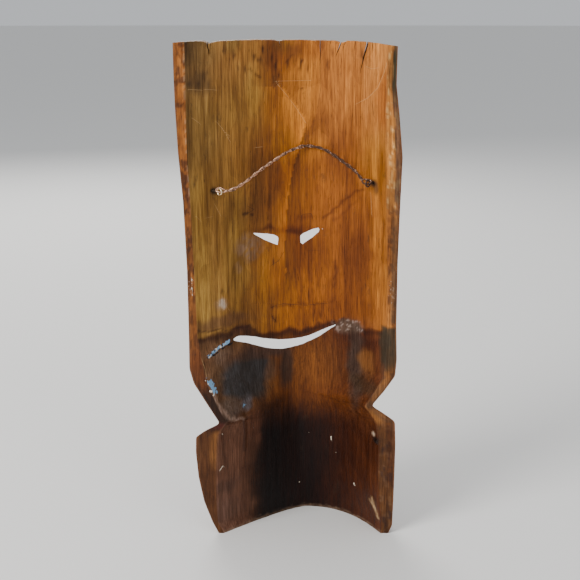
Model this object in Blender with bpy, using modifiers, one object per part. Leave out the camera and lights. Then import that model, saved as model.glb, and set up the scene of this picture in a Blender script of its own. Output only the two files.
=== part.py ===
"""A carved wooden mask, half a log hollowed from behind, with two screw eyes and a twisted hanging wire.

Metres, +Z up. The mask stands on the flat foot of its own block, its face looks along -Y and its hollow
opens towards +Y. The origin is the bottom centre of the bounding box.
"""

import math

import bmesh
import bpy
from mathutils import Matrix, Vector

MM = 0.001

# Driving dimensions, in millimetres
DEPTH = 95.0            # rim plane to nose tip
RIM_Y = DEPTH / 2       # the rim plane; the nose tip is at -DEPTH / 2
TOP_ARCH = 1.5          # the top edge rises this much between its corners
RING_STEP = 8.0         # height of one band of the loft
AROUND = 32             # faces along the outside of one section, and along its inside

# Sections of the block from the foot up. Each side of a section has its own height, because the
# neck is cut higher on one side: (z, outer x, rim width) on the +X side, the same on the -X side,
# depth of the hollow, depth of the outside, and x of the hollow's deepest line.
SECTIONS = (
    ((0, 65.0, 5.0), (0, -91.5, 7.5), 57.0, 70.0, -16.0),
    ((11, 70.5, 5.0), (8, -95.0, 10.0), 57.0, 71.0, -16.0),
    ((32, 78.0, 12.0), (32, -95.6, 13.5), 56.5, 72.0, -15.0),
    ((56, 82.6, 17.0), (58, -96.0, 15.5), 56.0, 72.5, -13.0),
    ((80, 84.6, 20.0), (88, -96.2, 15.5), 55.0, 72.0, -11.0),
    ((95, 84.2, 21.0), (110, -95.3, 18.0), 53.5, 69.0, -9.0),
    ((101, 76.0, 15.0), (118, -84.5, 12.0), 52.5, 64.0, -8.0),
    ((108, 62.4, 6.0), (125, -74.0, 7.0), 52.0, 60.0, -8.0),
    ((123, 71.5, 8.0), (139, -85.0, 9.0), 51.0, 63.0, -7.0),
    ((146, 85.0, 12.5), (153, -94.4, 11.0), 49.5, 66.0, -6.0),
    ((160, 88.7, 13.0), (168, -95.5, 10.0), 48.0, 66.0, -5.0),
    ((190, 88.5, 8.0), (200, -94.4, 9.0), 46.0, 65.0, -3.0),
    ((250, 88.7, 6.5), (255, -94.2, 9.0), 44.0, 64.0, 0.0),
    ((310, 90.7, 6.5), (300, -95.0, 12.0), 44.0, 63.0, -4.0),
    ((352, 94.0, 8.0), (348, -96.2, 14.0), 44.0, 62.0, -9.0),
    ((390, 95.6, 9.5), (385, -92.5, 12.0), 43.5, 61.0, -9.0),
    ((415, 96.1, 10.0), (408, -89.6, 9.0), 43.0, 60.0, -8.0),
    ((442, 96.2, 10.0), (442, -89.9, 8.0), 42.0, 58.0, -8.0),
)
NOTCH_Z, NOTCH_FALL, NOTCH_REACH = 106.0, 0.45, 16.0     # the waist's notches slope down towards the face
FOOT_SKEW = (1.25, 2.4)     # how the hollow's two walls curve at the foot: 1 is straight, more is rounder
UPPER_SKEW = (1.7, 2.3)     # and from the mouth up

# The slots, as outlines on the hollow's surface seen from behind: (x, z)
EYE_LEFT = ((33.1, 275.9), (19.7, 274.2), (13.7, 272.8), (10.7, 271.2), (9.8, 269.7), (10.5, 263.4), (13.8, 264.7),
            (22.4, 268.8))
EYE_RIGHT = ((-9.8, 271.5), (-11.9, 273.5), (-21.2, 278.0), (-26.1, 279.5), (-27.1, 278.2), (-26.7, 275.7),
             (-21.2, 270.6), (-12.0, 264.0), (-10.3, 265.4))
MOUTH = ((50.4, 179.4), (45.9, 182.4), (33.2, 179.8), (21.6, 176.1), (7.0, 173.3), (-7.8, 174.1), (-19.6, 177.6),
         (-31.2, 183.9), (-42.7, 189.6), (-37.0, 184.5), (-25.5, 175.5), (-10.7, 167.8), (4.1, 164.4),
         (15.9, 165.8), (27.5, 169.8), (38.9, 174.9))
SLOT_FALL = 0.3             # a slot's floor falls this much for each millimetre towards the face

# Screw eyes: the ring's centre and the point where the shank enters the wall of the hollow
RING_R, EYE_WIRE_R = 2.6, 0.65
SHANK_R, THREAD_R, THREAD_PITCH, SHANK_IN = 0.8, 1.05, 1.4, 8.0
SHANK_GAP = 0.3
EYES = {
    "screw_eye_left": (Vector((59.9, 39.8, 317.3)), 1),
    "screw_eye_right": (Vector((-67.6, 39.8, 324.4)), -1),
}

# Hanging wire
TWIST_R, STRAND_R = 1.4, 0.6
LOOP_RISE, LOOP_FAR, LOOP_NEAR = 4.6, 3.2, 6.8
WIRE_ROUTE = (
    (0.048, 0.6), (0.082, 1.4), (0.123, 4.2), (0.197, 11.6), (0.281, 21.6), (0.366, 30.4), (0.443, 38.0),
    (0.520, 43.4), (0.597, 46.2), (0.671, 44.4), (0.728, 40.6), (0.791, 33.4), (0.862, 23.6), (0.925, 14.2),
    (0.964, 4.4),
)
WIRE_LEAN = math.radians(47.5)    # from upright, into the hollow, where the wire rests on the wood


def blend(a, b, t):
    return a + (b - a) * t


def hermite(a, b, c, d, t):
    """Catmull-Rom between b and c."""
    return b + 0.5 * t * (c - a + t * (2 * a - 5 * b + 4 * c - d + t * (3 * (b - c) + d - a)))


def flatten(section):
    (z_p, x_p, rim_p), (z_m, x_m, rim_m), hollow, outside, deepest = section
    return (z_p, x_p, rim_p, z_m, x_m, rim_m, hollow, outside, deepest)


def section_at(station):
    """The section at a real-numbered place in SECTIONS. Between rows, widths run straight and depths run smooth."""
    last = len(SECTIONS) - 1
    i = min(int(station), last - 1)
    t = station - i
    rows = [flatten(SECTIONS[min(max(k, 0), last)]) for k in (i - 1, i, i + 1, i + 2)]
    straight = [blend(b, c, t) for b, c in zip(rows[1], rows[2])]
    smooth = [hermite(a, b, c, d, t) for a, b, c, d in zip(*rows)]
    return straight[:6] + smooth[6:]


def bump(x, z, at_x, at_z, half_x, half_z):
    """1 in the middle, falling smoothly to 0 at an ellipse."""
    r = math.hypot((x - at_x) / half_x, (z - at_z) / half_z)
    return 0.0 if r >= 1 else (0.5 + 0.5 * math.cos(math.pi * r))


def band(value, middle, half):
    r = abs(value - middle) / half
    return 0.0 if r >= 1 else (0.5 + 0.5 * math.cos(math.pi * r))


def nose(x, z):
    """A wedge, widest and highest at its tip."""
    top, tip, under = 282.0, 208.0, 192.0
    if not under < z < top:
        return 0.0
    run = (top - z) / (top - tip) if z > tip else (z - under) / (tip - under)
    half = blend(9.0, 21.0, min(run, 1.0)) if z > tip else 21.0
    side = max(0.0, 1 - (abs(x) / half) ** 1.7)
    return 31.9 * run ** 0.75 * side


def mouth_line(x):
    return 176.0 + 0.0045 * (x - 12) ** 2 - 0.05 * x


def carving(x, z):
    """How far the carved face stands forward of the plain half log."""
    brow = 9.0 * band(z, 296 - 0.0035 * x * x, 15) * band(x, 0, 84)
    sockets = -5.0 * (bump(x, z, 27, 270, 34, 22) + bump(x, z, -27, 270, 34, 22))
    cheeks = 7.0 * (bump(x, z, 50, 216, 38, 40) + bump(x, z, -50, 216, 38, 40))
    lips = 7.5 * band(z, mouth_line(x), 19) * band(x, 4, 76)
    chin = 11.0 * bump(x, z, 0, 140, 46, 30)
    headband = 6.0 * band(z, 330, 13)
    crown = 5.0 * band(z, 424, 15)
    collar = 6.0 * band(z, 84, 15) + 4.0 * band(z, 22, 18)
    return brow + sockets + cheeks + lips + chin + headband + crown + collar + nose(x, z)


def skew_at(z):
    t = min(max((z - 100) / 110, 0.0), 1.0)
    return [blend(a, b, t) for a, b in zip(FOOT_SKEW, UPPER_SKEW)]


def hollow_depth(x, z, inner_p, inner_m, depth, deepest):
    """Depth of the hollow behind the rim plane, 0 at both inner edges of the rim."""
    plus, minus = skew_at(z)
    if x >= deepest:
        t = (x - deepest) / (inner_p - deepest)
        return depth * (1 - min(t, 1.0) ** plus)
    t = (deepest - x) / (deepest - inner_m)
    return depth * (1 - min(t, 1.0) ** minus)


def outer_depth(x, z, x_p, x_m, depth):
    """Depth of the outside behind the rim plane: a half log with the face carved on it."""
    middle, half = (x_p + x_m) / 2, (x_p - x_m) / 2
    t = min(abs(x - middle) / half, 1.0)
    plain = depth * (1 - t * t) ** 0.62
    window = min(1.0, 2.2 * (1 - t))
    return plain + carving(x, z) * window


def ring_points(station):
    """One C-shaped section: the outside from +X to -X, then the hollow from +X to -X."""
    z_p, x_p, rim_p, z_m, x_m, rim_m, hollow, outside, deepest = section_at(station)
    arch = TOP_ARCH * max(0.0, station - (len(SECTIONS) - 2))
    outer, inner = [], []

    def height(x):
        t = (x - x_m) / (x_p - x_m)
        return blend(z_m, z_p, t) + arch * (1 - (2 * t - 1) ** 2)

    for i in range(AROUND + 1):
        c = math.cos(math.pi * i / AROUND)
        x = (x_p + x_m) / 2 + c * (x_p - x_m) / 2
        depth = outer_depth(x, height(x), x_p, x_m, outside)
        fall = NOTCH_FALL * min(depth, NOTCH_REACH) * band(height(x), NOTCH_Z, 42.0)
        outer.append(Vector((x, RIM_Y - depth, height(x) - fall)))
        in_p, in_m = x_p - rim_p, x_m + rim_m
        x = (in_p + in_m) / 2 + c * (in_p - in_m) / 2
        inner.append(Vector((x, RIM_Y - hollow_depth(x, height(x), in_p, in_m, hollow, deepest), height(x))))
    return outer, inner


def stations():
    """Places in SECTIONS for the rings of the loft, at most about RING_STEP apart."""
    found = [0.0]
    for i, (low, high) in enumerate(zip(SECTIONS, SECTIONS[1:])):
        rise = max(high[0][0] - low[0][0], high[1][0] - low[1][0])
        steps = max(1, math.ceil(rise / RING_STEP))
        found += [i + (k + 1) / steps for k in range(steps)]
    return found


def depth_at(x, z):
    """Depth of the hollow behind the rim plane at (x, z)."""
    last = len(SECTIONS) - 1
    low, high = 0.0, float(last)
    for _ in range(40):
        middle = (low + high) / 2
        z_p, x_p, _, z_m, x_m, *_ = section_at(middle)
        here = blend(z_m, z_p, (x - x_m) / (x_p - x_m))
        low, high = (middle, high) if here < z else (low, middle)
    _, x_p, rim_p, _, x_m, rim_m, hollow, _, deepest = section_at(low)
    return hollow_depth(x, z, x_p - rim_p, x_m + rim_m, hollow, deepest)


def add_object(name, mesh, collection, material=None):
    obj = bpy.data.objects.new(name, mesh)
    collection.objects.link(obj)
    if material:
        mesh.materials.append(material)
    return obj


def mesh_of(name, bm):
    bmesh.ops.recalc_face_normals(bm, faces=bm.faces[:])
    mesh = bpy.data.meshes.new(name)
    bm.to_mesh(mesh)
    bm.free()
    return mesh


def smooth(mesh, degrees=35):
    mesh.shade_smooth()
    mesh.set_sharp_from_angle(angle=math.radians(degrees))


def make_material(name, colour, roughness, metallic=0.0):
    material = bpy.data.materials.new(name)
    material.use_nodes = True
    shader = material.node_tree.nodes["Principled BSDF"]
    shader.inputs["Base Color"].default_value = (*colour, 1.0)
    shader.inputs["Roughness"].default_value = roughness
    shader.inputs["Metallic"].default_value = metallic
    return material


def block_mesh():
    """The hollowed and carved block: a loft of C-shaped sections, with a strip of faces over each end."""
    bm = bmesh.new()
    rows = []
    for station in stations():
        outer, inner = ring_points(station)
        rows.append(([bm.verts.new(p * MM) for p in outer], [bm.verts.new(p * MM) for p in inner]))
    for (out_a, in_a), (out_b, in_b) in zip(rows, rows[1:]):
        for i in range(AROUND):
            bm.faces.new((out_a[i], out_a[i + 1], out_b[i + 1], out_b[i]))
            bm.faces.new((in_a[i], in_b[i], in_b[i + 1], in_a[i + 1]))
        for i in (0, AROUND):
            bm.faces.new((out_a[i], out_b[i], in_b[i], in_a[i]))
    for outer, inner in (rows[0], rows[-1]):
        for i in range(AROUND):
            bm.faces.new((outer[i], inner[i], inner[i + 1], outer[i + 1]))
    return mesh_of("mask_shell", bm)


def slot_cutter(name, outline, collection):
    """A slot's cutter: the outline on the hollow's side, its lower edge falling towards the face."""
    back, start, front = RIM_Y - 12.0, RIM_Y - 44.0, -RIM_Y - 8.0
    bm = bmesh.new()
    rows = []
    for y in (back, start, front):
        fall = SLOT_FALL * max(0.0, start - y)
        heights = [z - fall * (z < upper_edge(outline, x) - 0.5) for x, z in outline]
        rows.append([bm.verts.new(Vector((x, y, z)) * MM) for (x, _), z in zip(outline, heights)])
    count = len(outline)
    for near, far in zip(rows, rows[1:]):
        for i in range(count):
            j = (i + 1) % count
            bm.faces.new((near[i], near[j], far[j], far[i]))
    bm.faces.new(rows[0])
    bm.faces.new(rows[-1])
    return cutter(add_object(name, mesh_of(name, bm), collection))


def upper_edge(outline, x):
    """Height of the slot's upper edge at x: the higher of the outline's crossings."""
    found = []
    for (xa, za), (xb, zb) in zip(outline, outline[1:] + outline[:1]):
        if min(xa, xb) <= x <= max(xa, xb) and xa != xb:
            found.append(blend(za, zb, (x - xa) / (xb - xa)))
    return max(found)


def cutter(obj):
    obj.hide_render = True
    obj.display_type = "WIRE"
    return obj


def cut(obj, tool):
    modifier = obj.modifiers.new(tool.name, "BOOLEAN")
    modifier.operation = "DIFFERENCE"
    modifier.solver = "EXACT"
    modifier.object = tool


def shank_direction(side):
    """Out of the wood towards the ring, square to the wall of the hollow."""
    return Vector((-0.74 * side, 0.673, 0.0)).normalized()


def turned(name, profile, collection, sides=16):
    """A solid turned about its own Z from a profile of (radius, z), which runs from the top down."""
    bm = bmesh.new()
    verts = [bm.verts.new((r * MM, 0, z * MM)) for r, z in profile]
    for a, b in zip(verts, verts[1:]):
        bm.edges.new((a, b))
    mesh = bpy.data.meshes.new(name)
    bm.to_mesh(mesh)
    bm.free()
    obj = add_object(name, mesh, collection)
    screw = obj.modifiers.new("Turn", "SCREW")
    screw.axis = "Z"
    screw.steps = sides
    screw.render_steps = sides
    screw.use_merge_vertices = True
    screw.merge_threshold = 1e-6
    return obj


def eye_matrix(centre, side):
    """Z along the shank, out of the wood, and X up the mask: the ring lies in this frame's XZ plane."""
    z = shank_direction(side)
    x = Vector((0, 0, 1))
    y = z.cross(x)
    return Matrix.Translation(centre * MM) @ Matrix((x, y, z)).transposed().to_4x4()


def standoff(centre, side):
    """Distance from the ring's centre to the wood, along the shank."""
    way = shank_direction(side)
    far = 0.0
    while RIM_Y - (centre - way * far).y < depth_at((centre - way * far).x, centre.z):
        far += 0.1
    return far


def shank_profile(wood):
    """From the ring down to the point: a plain neck, thread crests in the wood, and a cone."""
    start = -RING_R
    end = wood - SHANK_IN
    profile = [(0, start), (SHANK_R, start), (SHANK_R, wood)]
    z = wood
    while z - THREAD_PITCH > end + THREAD_PITCH:
        profile += [(THREAD_R, z - THREAD_PITCH / 2), (SHANK_R, z - THREAD_PITCH)]
        z -= THREAD_PITCH
    return profile + [(0, end)]


def pilot_profile(wood):
    r = THREAD_R + SHANK_GAP
    top, bottom = wood + 4, wood - SHANK_IN - SHANK_GAP
    return [(0, top), (r, top), (r, bottom), (0, bottom)]


def screw_eye(name, centre, side, parts, cutters, material):
    """A ring on a threaded shank, and the pilot hole it sits in."""
    matrix = eye_matrix(centre, side)
    wood = -standoff(centre, side)
    shank = turned(name + "_shank", shank_profile(wood), cutters)
    shank.matrix_world = matrix
    cutter(shank)
    bpy.ops.mesh.primitive_torus_add(
        major_radius=RING_R * MM, minor_radius=EYE_WIRE_R * MM, major_segments=32, minor_segments=12
    )
    ring = bpy.context.active_object
    ring.name = name
    for collection in ring.users_collection:
        collection.objects.unlink(ring)
    parts.objects.link(ring)
    ring.data.name = name
    ring.data.transform(Matrix.Rotation(math.pi / 2, 4, "X"))
    ring.data.materials.append(material)
    smooth(ring.data)
    ring.matrix_world = matrix
    join = ring.modifiers.new("Join shank", "BOOLEAN")
    join.operation = "UNION"
    join.solver = "EXACT"
    join.object = shank
    pilot = turned(name + "_pilot", pilot_profile(wood), cutters)
    pilot.matrix_world = matrix
    return cutter(pilot)


def wire_frame():
    """The hinge's middle, its direction from the left eye to the right, the way out to the wire, and its span."""
    left = EYES["screw_eye_left"][0]
    right = EYES["screw_eye_right"][0]
    along = (right - left).normalized()
    up = Vector((0, 0, 1))
    up = (up - along * up.dot(along)).normalized()
    inward = along.cross(up)
    if inward.y > 0:
        inward = -inward
    out = up * math.cos(WIRE_LEAN) + inward * math.sin(WIRE_LEAN)
    return left, along, out, (right - left).length


def smooth_points(points, spacing):
    """Points about this far apart on a Catmull-Rom curve through the given ones."""
    padded = [2 * points[0] - points[1], *points, 2 * points[-1] - points[-2]]
    found = [points[0]]
    for a, b, c, d in zip(padded, padded[1:], padded[2:], padded[3:]):
        steps = max(1, round((c - b).length / spacing))
        found += [Vector([hermite(*p, k / steps) for p in zip(a, b, c, d)]) for k in range(1, steps + 1)]
    return found


def tube(name, points, radius, collection, closed=False):
    """A round tube through the points, as a mesh whose caps are welded to its sides."""
    curve = bpy.data.curves.new(name, "CURVE")
    curve.dimensions = "3D"
    curve.bevel_depth = radius * MM
    curve.bevel_resolution = 2
    curve.use_fill_caps = not closed
    spline = curve.splines.new("POLY")
    spline.points.add(len(points) - 1)
    for point, place in zip(spline.points, points):
        point.co = (*(place * MM), 1.0)
    spline.use_cyclic_u = closed
    obj = bpy.data.objects.new(name + "_curve", curve)
    collection.objects.link(obj)
    bpy.context.view_layer.update()
    evaluated = obj.evaluated_get(bpy.context.evaluated_depsgraph_get())
    mesh = bpy.data.meshes.new_from_object(evaluated)
    bpy.data.objects.remove(obj)
    bm = bmesh.new()
    bm.from_mesh(mesh)
    bmesh.ops.remove_doubles(bm, verts=bm.verts[:], dist=1e-6)
    bmesh.ops.recalc_face_normals(bm, faces=bm.faces[:])
    bm.to_mesh(mesh)
    bm.free()
    mesh.name = name
    return add_object(name, mesh, collection)


def end_loop(centre, along, out):
    """A closed loop of one strand: through the ring along the hinge axis, round it, and back outside it."""
    middle, half = (LOOP_NEAR - LOOP_FAR) / 2, (LOOP_NEAR + LOOP_FAR) / 2
    rise = LOOP_RISE / 2
    found = []
    for i in range(28):
        a = 2 * math.pi * i / 28
        square = 0.72
        x = math.copysign(abs(math.cos(a)) ** square, math.cos(a))
        y = math.copysign(abs(math.sin(a)) ** square, math.sin(a))
        found.append(centre + along * (middle + half * x) + out * (rise + rise * y))
    return found


def hanging_wire(parts, cutters, material):
    left, along, out, span = wire_frame()
    route = [left + along * (span * t) + out * rise for t, rise in WIRE_ROUTE]
    wire = tube("hanging_wire", smooth_points(route, 3.0), TWIST_R, parts)
    wire.data.materials.append(material)
    right = left + along * span
    for name, centre, way in (("loop_left", left, along), ("loop_right", right, -along)):
        loop = cutter(tube(name, end_loop(centre, way, out), STRAND_R, cutters, closed=True))
        join = wire.modifiers.new(name, "BOOLEAN")
        join.operation = "UNION"
        join.solver = "EXACT"
        join.object = loop
    return wire


def main():
    for obj in list(bpy.data.objects):
        bpy.data.objects.remove(obj)
    parts = bpy.data.collections.new("folk_mask")
    cutters = bpy.data.collections.new("cutters")
    for collection in (parts, cutters):
        bpy.context.scene.collection.children.link(collection)
    wood = make_material("carved_wood", (0.27, 0.12, 0.04), 0.6)
    brass = make_material("eye_wire", (0.45, 0.33, 0.16), 0.4, 1.0)
    iron = make_material("hanger_wire", (0.22, 0.13, 0.08), 0.5, 1.0)
    shell = add_object("mask_shell", block_mesh(), parts, wood)
    smooth(shell.data)
    for name, outline in (("eye_slot_left", EYE_LEFT), ("eye_slot_right", EYE_RIGHT), ("mouth_slot", MOUTH)):
        cut(shell, slot_cutter(name, outline, cutters))
    for name, (centre, side) in EYES.items():
        cut(shell, screw_eye(name, centre, side, parts, cutters, brass))
    hanging_wire(parts, cutters, iron)


main()
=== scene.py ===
"""Looks of the carved folk mask: its worn wood, old paint, screw eyes and twisted hanging wire.

Lengths are in millimetres until a mesh is made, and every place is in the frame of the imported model.
"""

import math

import bmesh
import bpy
import numpy as np
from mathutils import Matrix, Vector, kdtree


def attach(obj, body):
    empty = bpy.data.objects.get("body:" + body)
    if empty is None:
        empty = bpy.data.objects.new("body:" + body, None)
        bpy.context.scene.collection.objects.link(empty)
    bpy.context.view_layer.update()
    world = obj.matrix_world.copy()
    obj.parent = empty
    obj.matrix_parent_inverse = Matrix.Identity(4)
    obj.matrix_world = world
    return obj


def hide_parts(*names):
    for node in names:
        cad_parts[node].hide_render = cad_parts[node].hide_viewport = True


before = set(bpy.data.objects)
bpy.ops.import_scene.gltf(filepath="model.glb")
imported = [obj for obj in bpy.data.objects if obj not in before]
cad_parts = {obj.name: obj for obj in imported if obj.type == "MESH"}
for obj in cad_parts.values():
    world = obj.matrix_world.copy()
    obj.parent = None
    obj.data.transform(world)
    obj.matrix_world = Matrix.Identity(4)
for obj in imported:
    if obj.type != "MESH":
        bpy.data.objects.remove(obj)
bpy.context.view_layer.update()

MM = 0.001
DEPTH = 95.0                    # rim plane to nose tip
RIM_Y = DEPTH / 2
TOP_ARCH = 1.5
NOTCH_Z, NOTCH_FALL, NOTCH_REACH = 106.0, 0.45, 16.0

# Camera: where the mask is seen from behind, at the height of its top edge and looking a little down
CAMERA_BACK, CAMERA_HEIGHT, CAMERA_X = 921.9, 467.1, -0.75
CAMERA_PITCH = math.radians(14.3)
CAMERA_LENS, SENSOR = 67.66, 36.0

# The block's sections from the foot up, as in the CAD part: (z, outer x, rim width) on the +X side, the
# same on the -X side, depth of the hollow, depth of the outside, and x of the hollow's deepest line
SECTIONS = (
    ((0, 65.0, 5.0), (0, -91.5, 7.5), 57.0, 70.0, -16.0),
    ((11, 70.5, 5.0), (8, -95.0, 10.0), 57.0, 71.0, -16.0),
    ((32, 78.0, 12.0), (32, -95.6, 13.5), 56.5, 72.0, -15.0),
    ((56, 82.6, 17.0), (58, -96.0, 15.5), 56.0, 72.5, -13.0),
    ((80, 84.6, 20.0), (88, -96.2, 15.5), 55.0, 72.0, -11.0),
    ((95, 84.2, 21.0), (110, -95.3, 18.0), 53.5, 69.0, -9.0),
    ((101, 76.0, 15.0), (118, -84.5, 12.0), 52.5, 64.0, -8.0),
    ((108, 62.4, 6.0), (125, -74.0, 7.0), 52.0, 60.0, -8.0),
    ((123, 71.5, 8.0), (139, -85.0, 9.0), 51.0, 63.0, -7.0),
    ((146, 85.0, 12.5), (153, -94.4, 11.0), 49.5, 66.0, -6.0),
    ((160, 88.7, 13.0), (168, -95.5, 10.0), 48.0, 66.0, -5.0),
    ((190, 88.5, 8.0), (200, -94.4, 9.0), 46.0, 65.0, -3.0),
    ((250, 88.7, 6.5), (255, -94.2, 9.0), 44.0, 64.0, 0.0),
    ((310, 90.7, 6.5), (300, -95.0, 12.0), 44.0, 63.0, -4.0),
    ((352, 94.0, 8.0), (348, -96.2, 14.0), 44.0, 62.0, -9.0),
    ((390, 95.6, 9.5), (385, -92.5, 12.0), 43.5, 61.0, -9.0),
    ((415, 96.1, 10.0), (408, -89.6, 9.0), 43.0, 60.0, -8.0),
    ((442, 96.2, 10.0), (442, -89.9, 8.0), 42.0, 58.0, -8.0),
)
FOOT_SKEW, UPPER_SKEW = (1.25, 2.4), (1.7, 2.3)
FACES_AROUND, FACES_THROUGH, FACES_UP = 136, 8, 330

# Slots, as outlines on the hollow's surface seen from behind: (x, z)
EYE_LEFT = (
    (33.1, 275.9), (19.7, 274.2), (13.7, 272.8), (10.7, 271.2), (9.8, 269.7), (10.5, 263.4), (13.8, 264.7),
    (22.4, 268.8),
)
EYE_RIGHT = (
    (-9.8, 271.5), (-11.9, 273.5), (-21.2, 278.0), (-26.1, 279.5), (-27.1, 278.2), (-26.7, 275.7),
    (-21.2, 270.6), (-12.0, 264.0), (-10.3, 265.4),
)
MOUTH = (
    (50.4, 179.4), (45.9, 182.4), (33.2, 179.8), (21.6, 176.1), (7.0, 173.3), (-7.8, 174.1), (-19.6, 177.6),
    (-31.2, 183.9), (-42.7, 189.6), (-37.0, 184.5), (-25.5, 175.5), (-10.7, 167.8), (4.1, 164.4),
    (15.9, 165.8), (27.5, 169.8), (38.9, 174.9),
)
SLOT_FALL, SLOT_SPLAY = 0.33, 0.0013

# Screw eyes and hanging wire, as in the CAD part
RING_R, EYE_WIRE_R, SHANK_R = 2.6, 0.65, 0.8
RING_START, RING_SWEEP, RING_STEPS = math.radians(-68), math.radians(326), 44
SHANK_ENTRY = 7.0               # from a ring's centre to where its shank enters the wood
EYES = {
    "screw_eye_left": (Vector((59.9, 39.8, 317.3)), 1),
    "screw_eye_right": (Vector((-67.6, 39.8, 324.4)), -1),
}
WIRE_ROUTE = (                  # the twisted length at rest, in the plane through the two rings: (along, out)
    (0.048, 0.6), (0.082, 1.4), (0.123, 4.2), (0.197, 11.6), (0.281, 21.6), (0.366, 30.4), (0.443, 38.0),
    (0.520, 43.4), (0.597, 46.2), (0.671, 44.4), (0.728, 40.6), (0.791, 33.4), (0.862, 23.6), (0.925, 14.2),
    (0.964, 4.4),
)
WIRE_LEAN = math.radians(47.5)
STRAND_R, STRAND_OFF, TWIST_PITCH = 0.70, 0.74, 16.5


# ---- noise and small maths

def mix(a, b, t):
    return a + (b - a) * t


def smoothstep(low, high, value):
    t = np.clip((value - low) / (high - low), 0.0, 1.0)
    return t * t * (3 - 2 * t)


def lattice(ix, iy, iz, seed):
    """A number from -1 to 1 for each whole-number place."""
    n = (ix * 374761393 + iy * 668265263 + iz * 1274126177 + seed * 974634777) & 0xFFFFFFFF
    n = ((n ^ (n >> 13)) * 1274126177) & 0xFFFFFFFF
    n = (n ^ (n >> 16)) & 0xFFFF
    return n / 32767.5 - 1.0


def noise(x, y, seed, z=0.0):
    """Smooth noise from about -1 to 1."""
    cell = [np.floor(v).astype(np.int64) for v in (x, y, z)]
    part = [v - c for v, c in zip((x, y, z), cell)]
    ease = [p * p * (3 - 2 * p) for p in part]
    total = 0.0
    for i in (0, 1):
        for j in (0, 1):
            for k in (0, 1):
                weight = (ease[0] if i else 1 - ease[0]) * (ease[1] if j else 1 - ease[1])
                weight = weight * (ease[2] if k else 1 - ease[2])
                total = total + weight * lattice(cell[0] + i, cell[1] + j, cell[2] + k, seed)
    return total


def layered(x, y, octaves, seed, z=0.0):
    """Noise with finer and fainter noise on top of it."""
    total, size, height = 0.0, 1.0, 0.55
    for k in range(octaves):
        total = total + height * noise(x * size, y * size, seed + k, z * size)
        size, height = size * 2.03, height * 0.5
    return total


def scoops(x, z, width, length, seed):
    """Tool marks: 0 in the middle of each overlapping scoop, up to about 1 on the ridges between them."""
    u, v = x / width, z / length
    cu, cv = np.floor(u).astype(np.int64), np.floor(v).astype(np.int64)
    nearest = np.full(np.shape(u), 9.0)
    for i in (-1, 0, 1):
        for j in (-1, 0, 1):
            pu = cu + i + 0.5 + 0.4 * lattice(cu + i, cv + j, cu * 0 + 1, seed)
            pv = cv + j + 0.5 + 0.4 * lattice(cu + i, cv + j, cu * 0 + 2, seed)
            nearest = np.minimum(nearest, (u - pu) ** 2 + (v - pv) ** 2)
    return nearest


def spot(x, z, at_x, at_z, half_x, half_z):
    """1 in the middle of an ellipse, falling smoothly to 0 at its edge."""
    r = np.hypot((x - at_x) / half_x, (z - at_z) / half_z)
    return np.where(r < 1, 0.5 + 0.5 * np.cos(np.pi * np.minimum(r, 1)), 0.0)


def band(value, middle, half):
    r = np.minimum(np.abs(value - middle) / half, 1)
    return 0.5 + 0.5 * np.cos(np.pi * r)


def from_line(x, z, points):
    """(distance from a polyline, which side of it: 1 on the left of its direction)."""
    nearest = np.full(np.shape(x), 1e9)
    side = np.ones(np.shape(x))
    for (ax, az), (bx, bz) in zip(points, points[1:]):
        dx, dz = bx - ax, bz - az
        t = np.clip(((x - ax) * dx + (z - az) * dz) / (dx * dx + dz * dz), 0, 1)
        far = np.hypot(x - ax - t * dx, z - az - t * dz)
        turn = np.sign(dx * (z - az) - dz * (x - ax))
        side = np.where(far < nearest, turn, side)
        nearest = np.minimum(nearest, far)
    return nearest, side


def bell(distance, width):
    return np.exp(-((distance / width) ** 2))


def line(x, z, points, width):
    return bell(from_line(x, z, points)[0], width)


def hermite(a, b, c, d, t):
    return b + 0.5 * t * (c - a + t * (2 * a - 5 * b + 4 * c - d + t * (3 * (b - c) + d - a)))


def smooth_points(points, spacing, closed=False):
    """Points about this far apart on a Catmull-Rom curve through the given ones."""
    if closed:
        padded = [points[-1], *points, points[0], points[1]]
    else:
        padded = [2 * points[0] - points[1], *points, 2 * points[-1] - points[-2]]
    found = [] if closed else [points[0]]
    for a, b, c, d in zip(padded, padded[1:], padded[2:], padded[3:]):
        steps = max(1, round((c - b).length / spacing))
        found += [Vector([hermite(*p, k / steps) for p in zip(a, b, c, d)]) for k in range(1, steps + 1)]
    return found


# ---- the block's shape

def flatten(section):
    (z_p, x_p, rim_p), (z_m, x_m, rim_m), hollow, outside, deepest = section
    return (z_p, x_p, rim_p, z_m, x_m, rim_m, hollow, outside, deepest)


def sections_at(stations):
    """The sections at real-numbered places in SECTIONS, as rows: widths run straight, depths run smooth."""
    table = np.array([flatten(s) for s in SECTIONS], float)
    last = len(table) - 1
    i = np.clip(stations.astype(int), 0, last - 1)
    t = (stations - i)[:, None]
    a, b, c, d = (table[np.clip(i + k, 0, last)] for k in (-1, 0, 1, 2))
    rows = hermite(a, b, c, d, t)
    rows[:, :6] = mix(b, c, t)[:, :6]
    return rows


def even_stations(count):
    """Places in SECTIONS, evenly spaced along the block's edge."""
    fine = np.linspace(0, len(SECTIONS) - 1, 4000)
    rows = sections_at(fine)
    steps = np.maximum(np.hypot(np.diff(rows[:, 0]), 0.5 * np.diff(rows[:, 1])),
                       np.hypot(np.diff(rows[:, 3]), 0.5 * np.diff(rows[:, 4])))
    length = np.concatenate([[0], np.cumsum(steps)])
    return np.interp(np.linspace(0, length[-1], count + 1), length, fine)


def soften(rows, reach):
    """Rows averaged with their neighbours, so that corners in the outline are worn round; the ends stay."""
    made = rows.copy()
    for _ in range(reach):
        made[1:-1] = (made[:-2] + 2 * made[1:-1] + made[2:]) / 4
    return made


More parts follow.
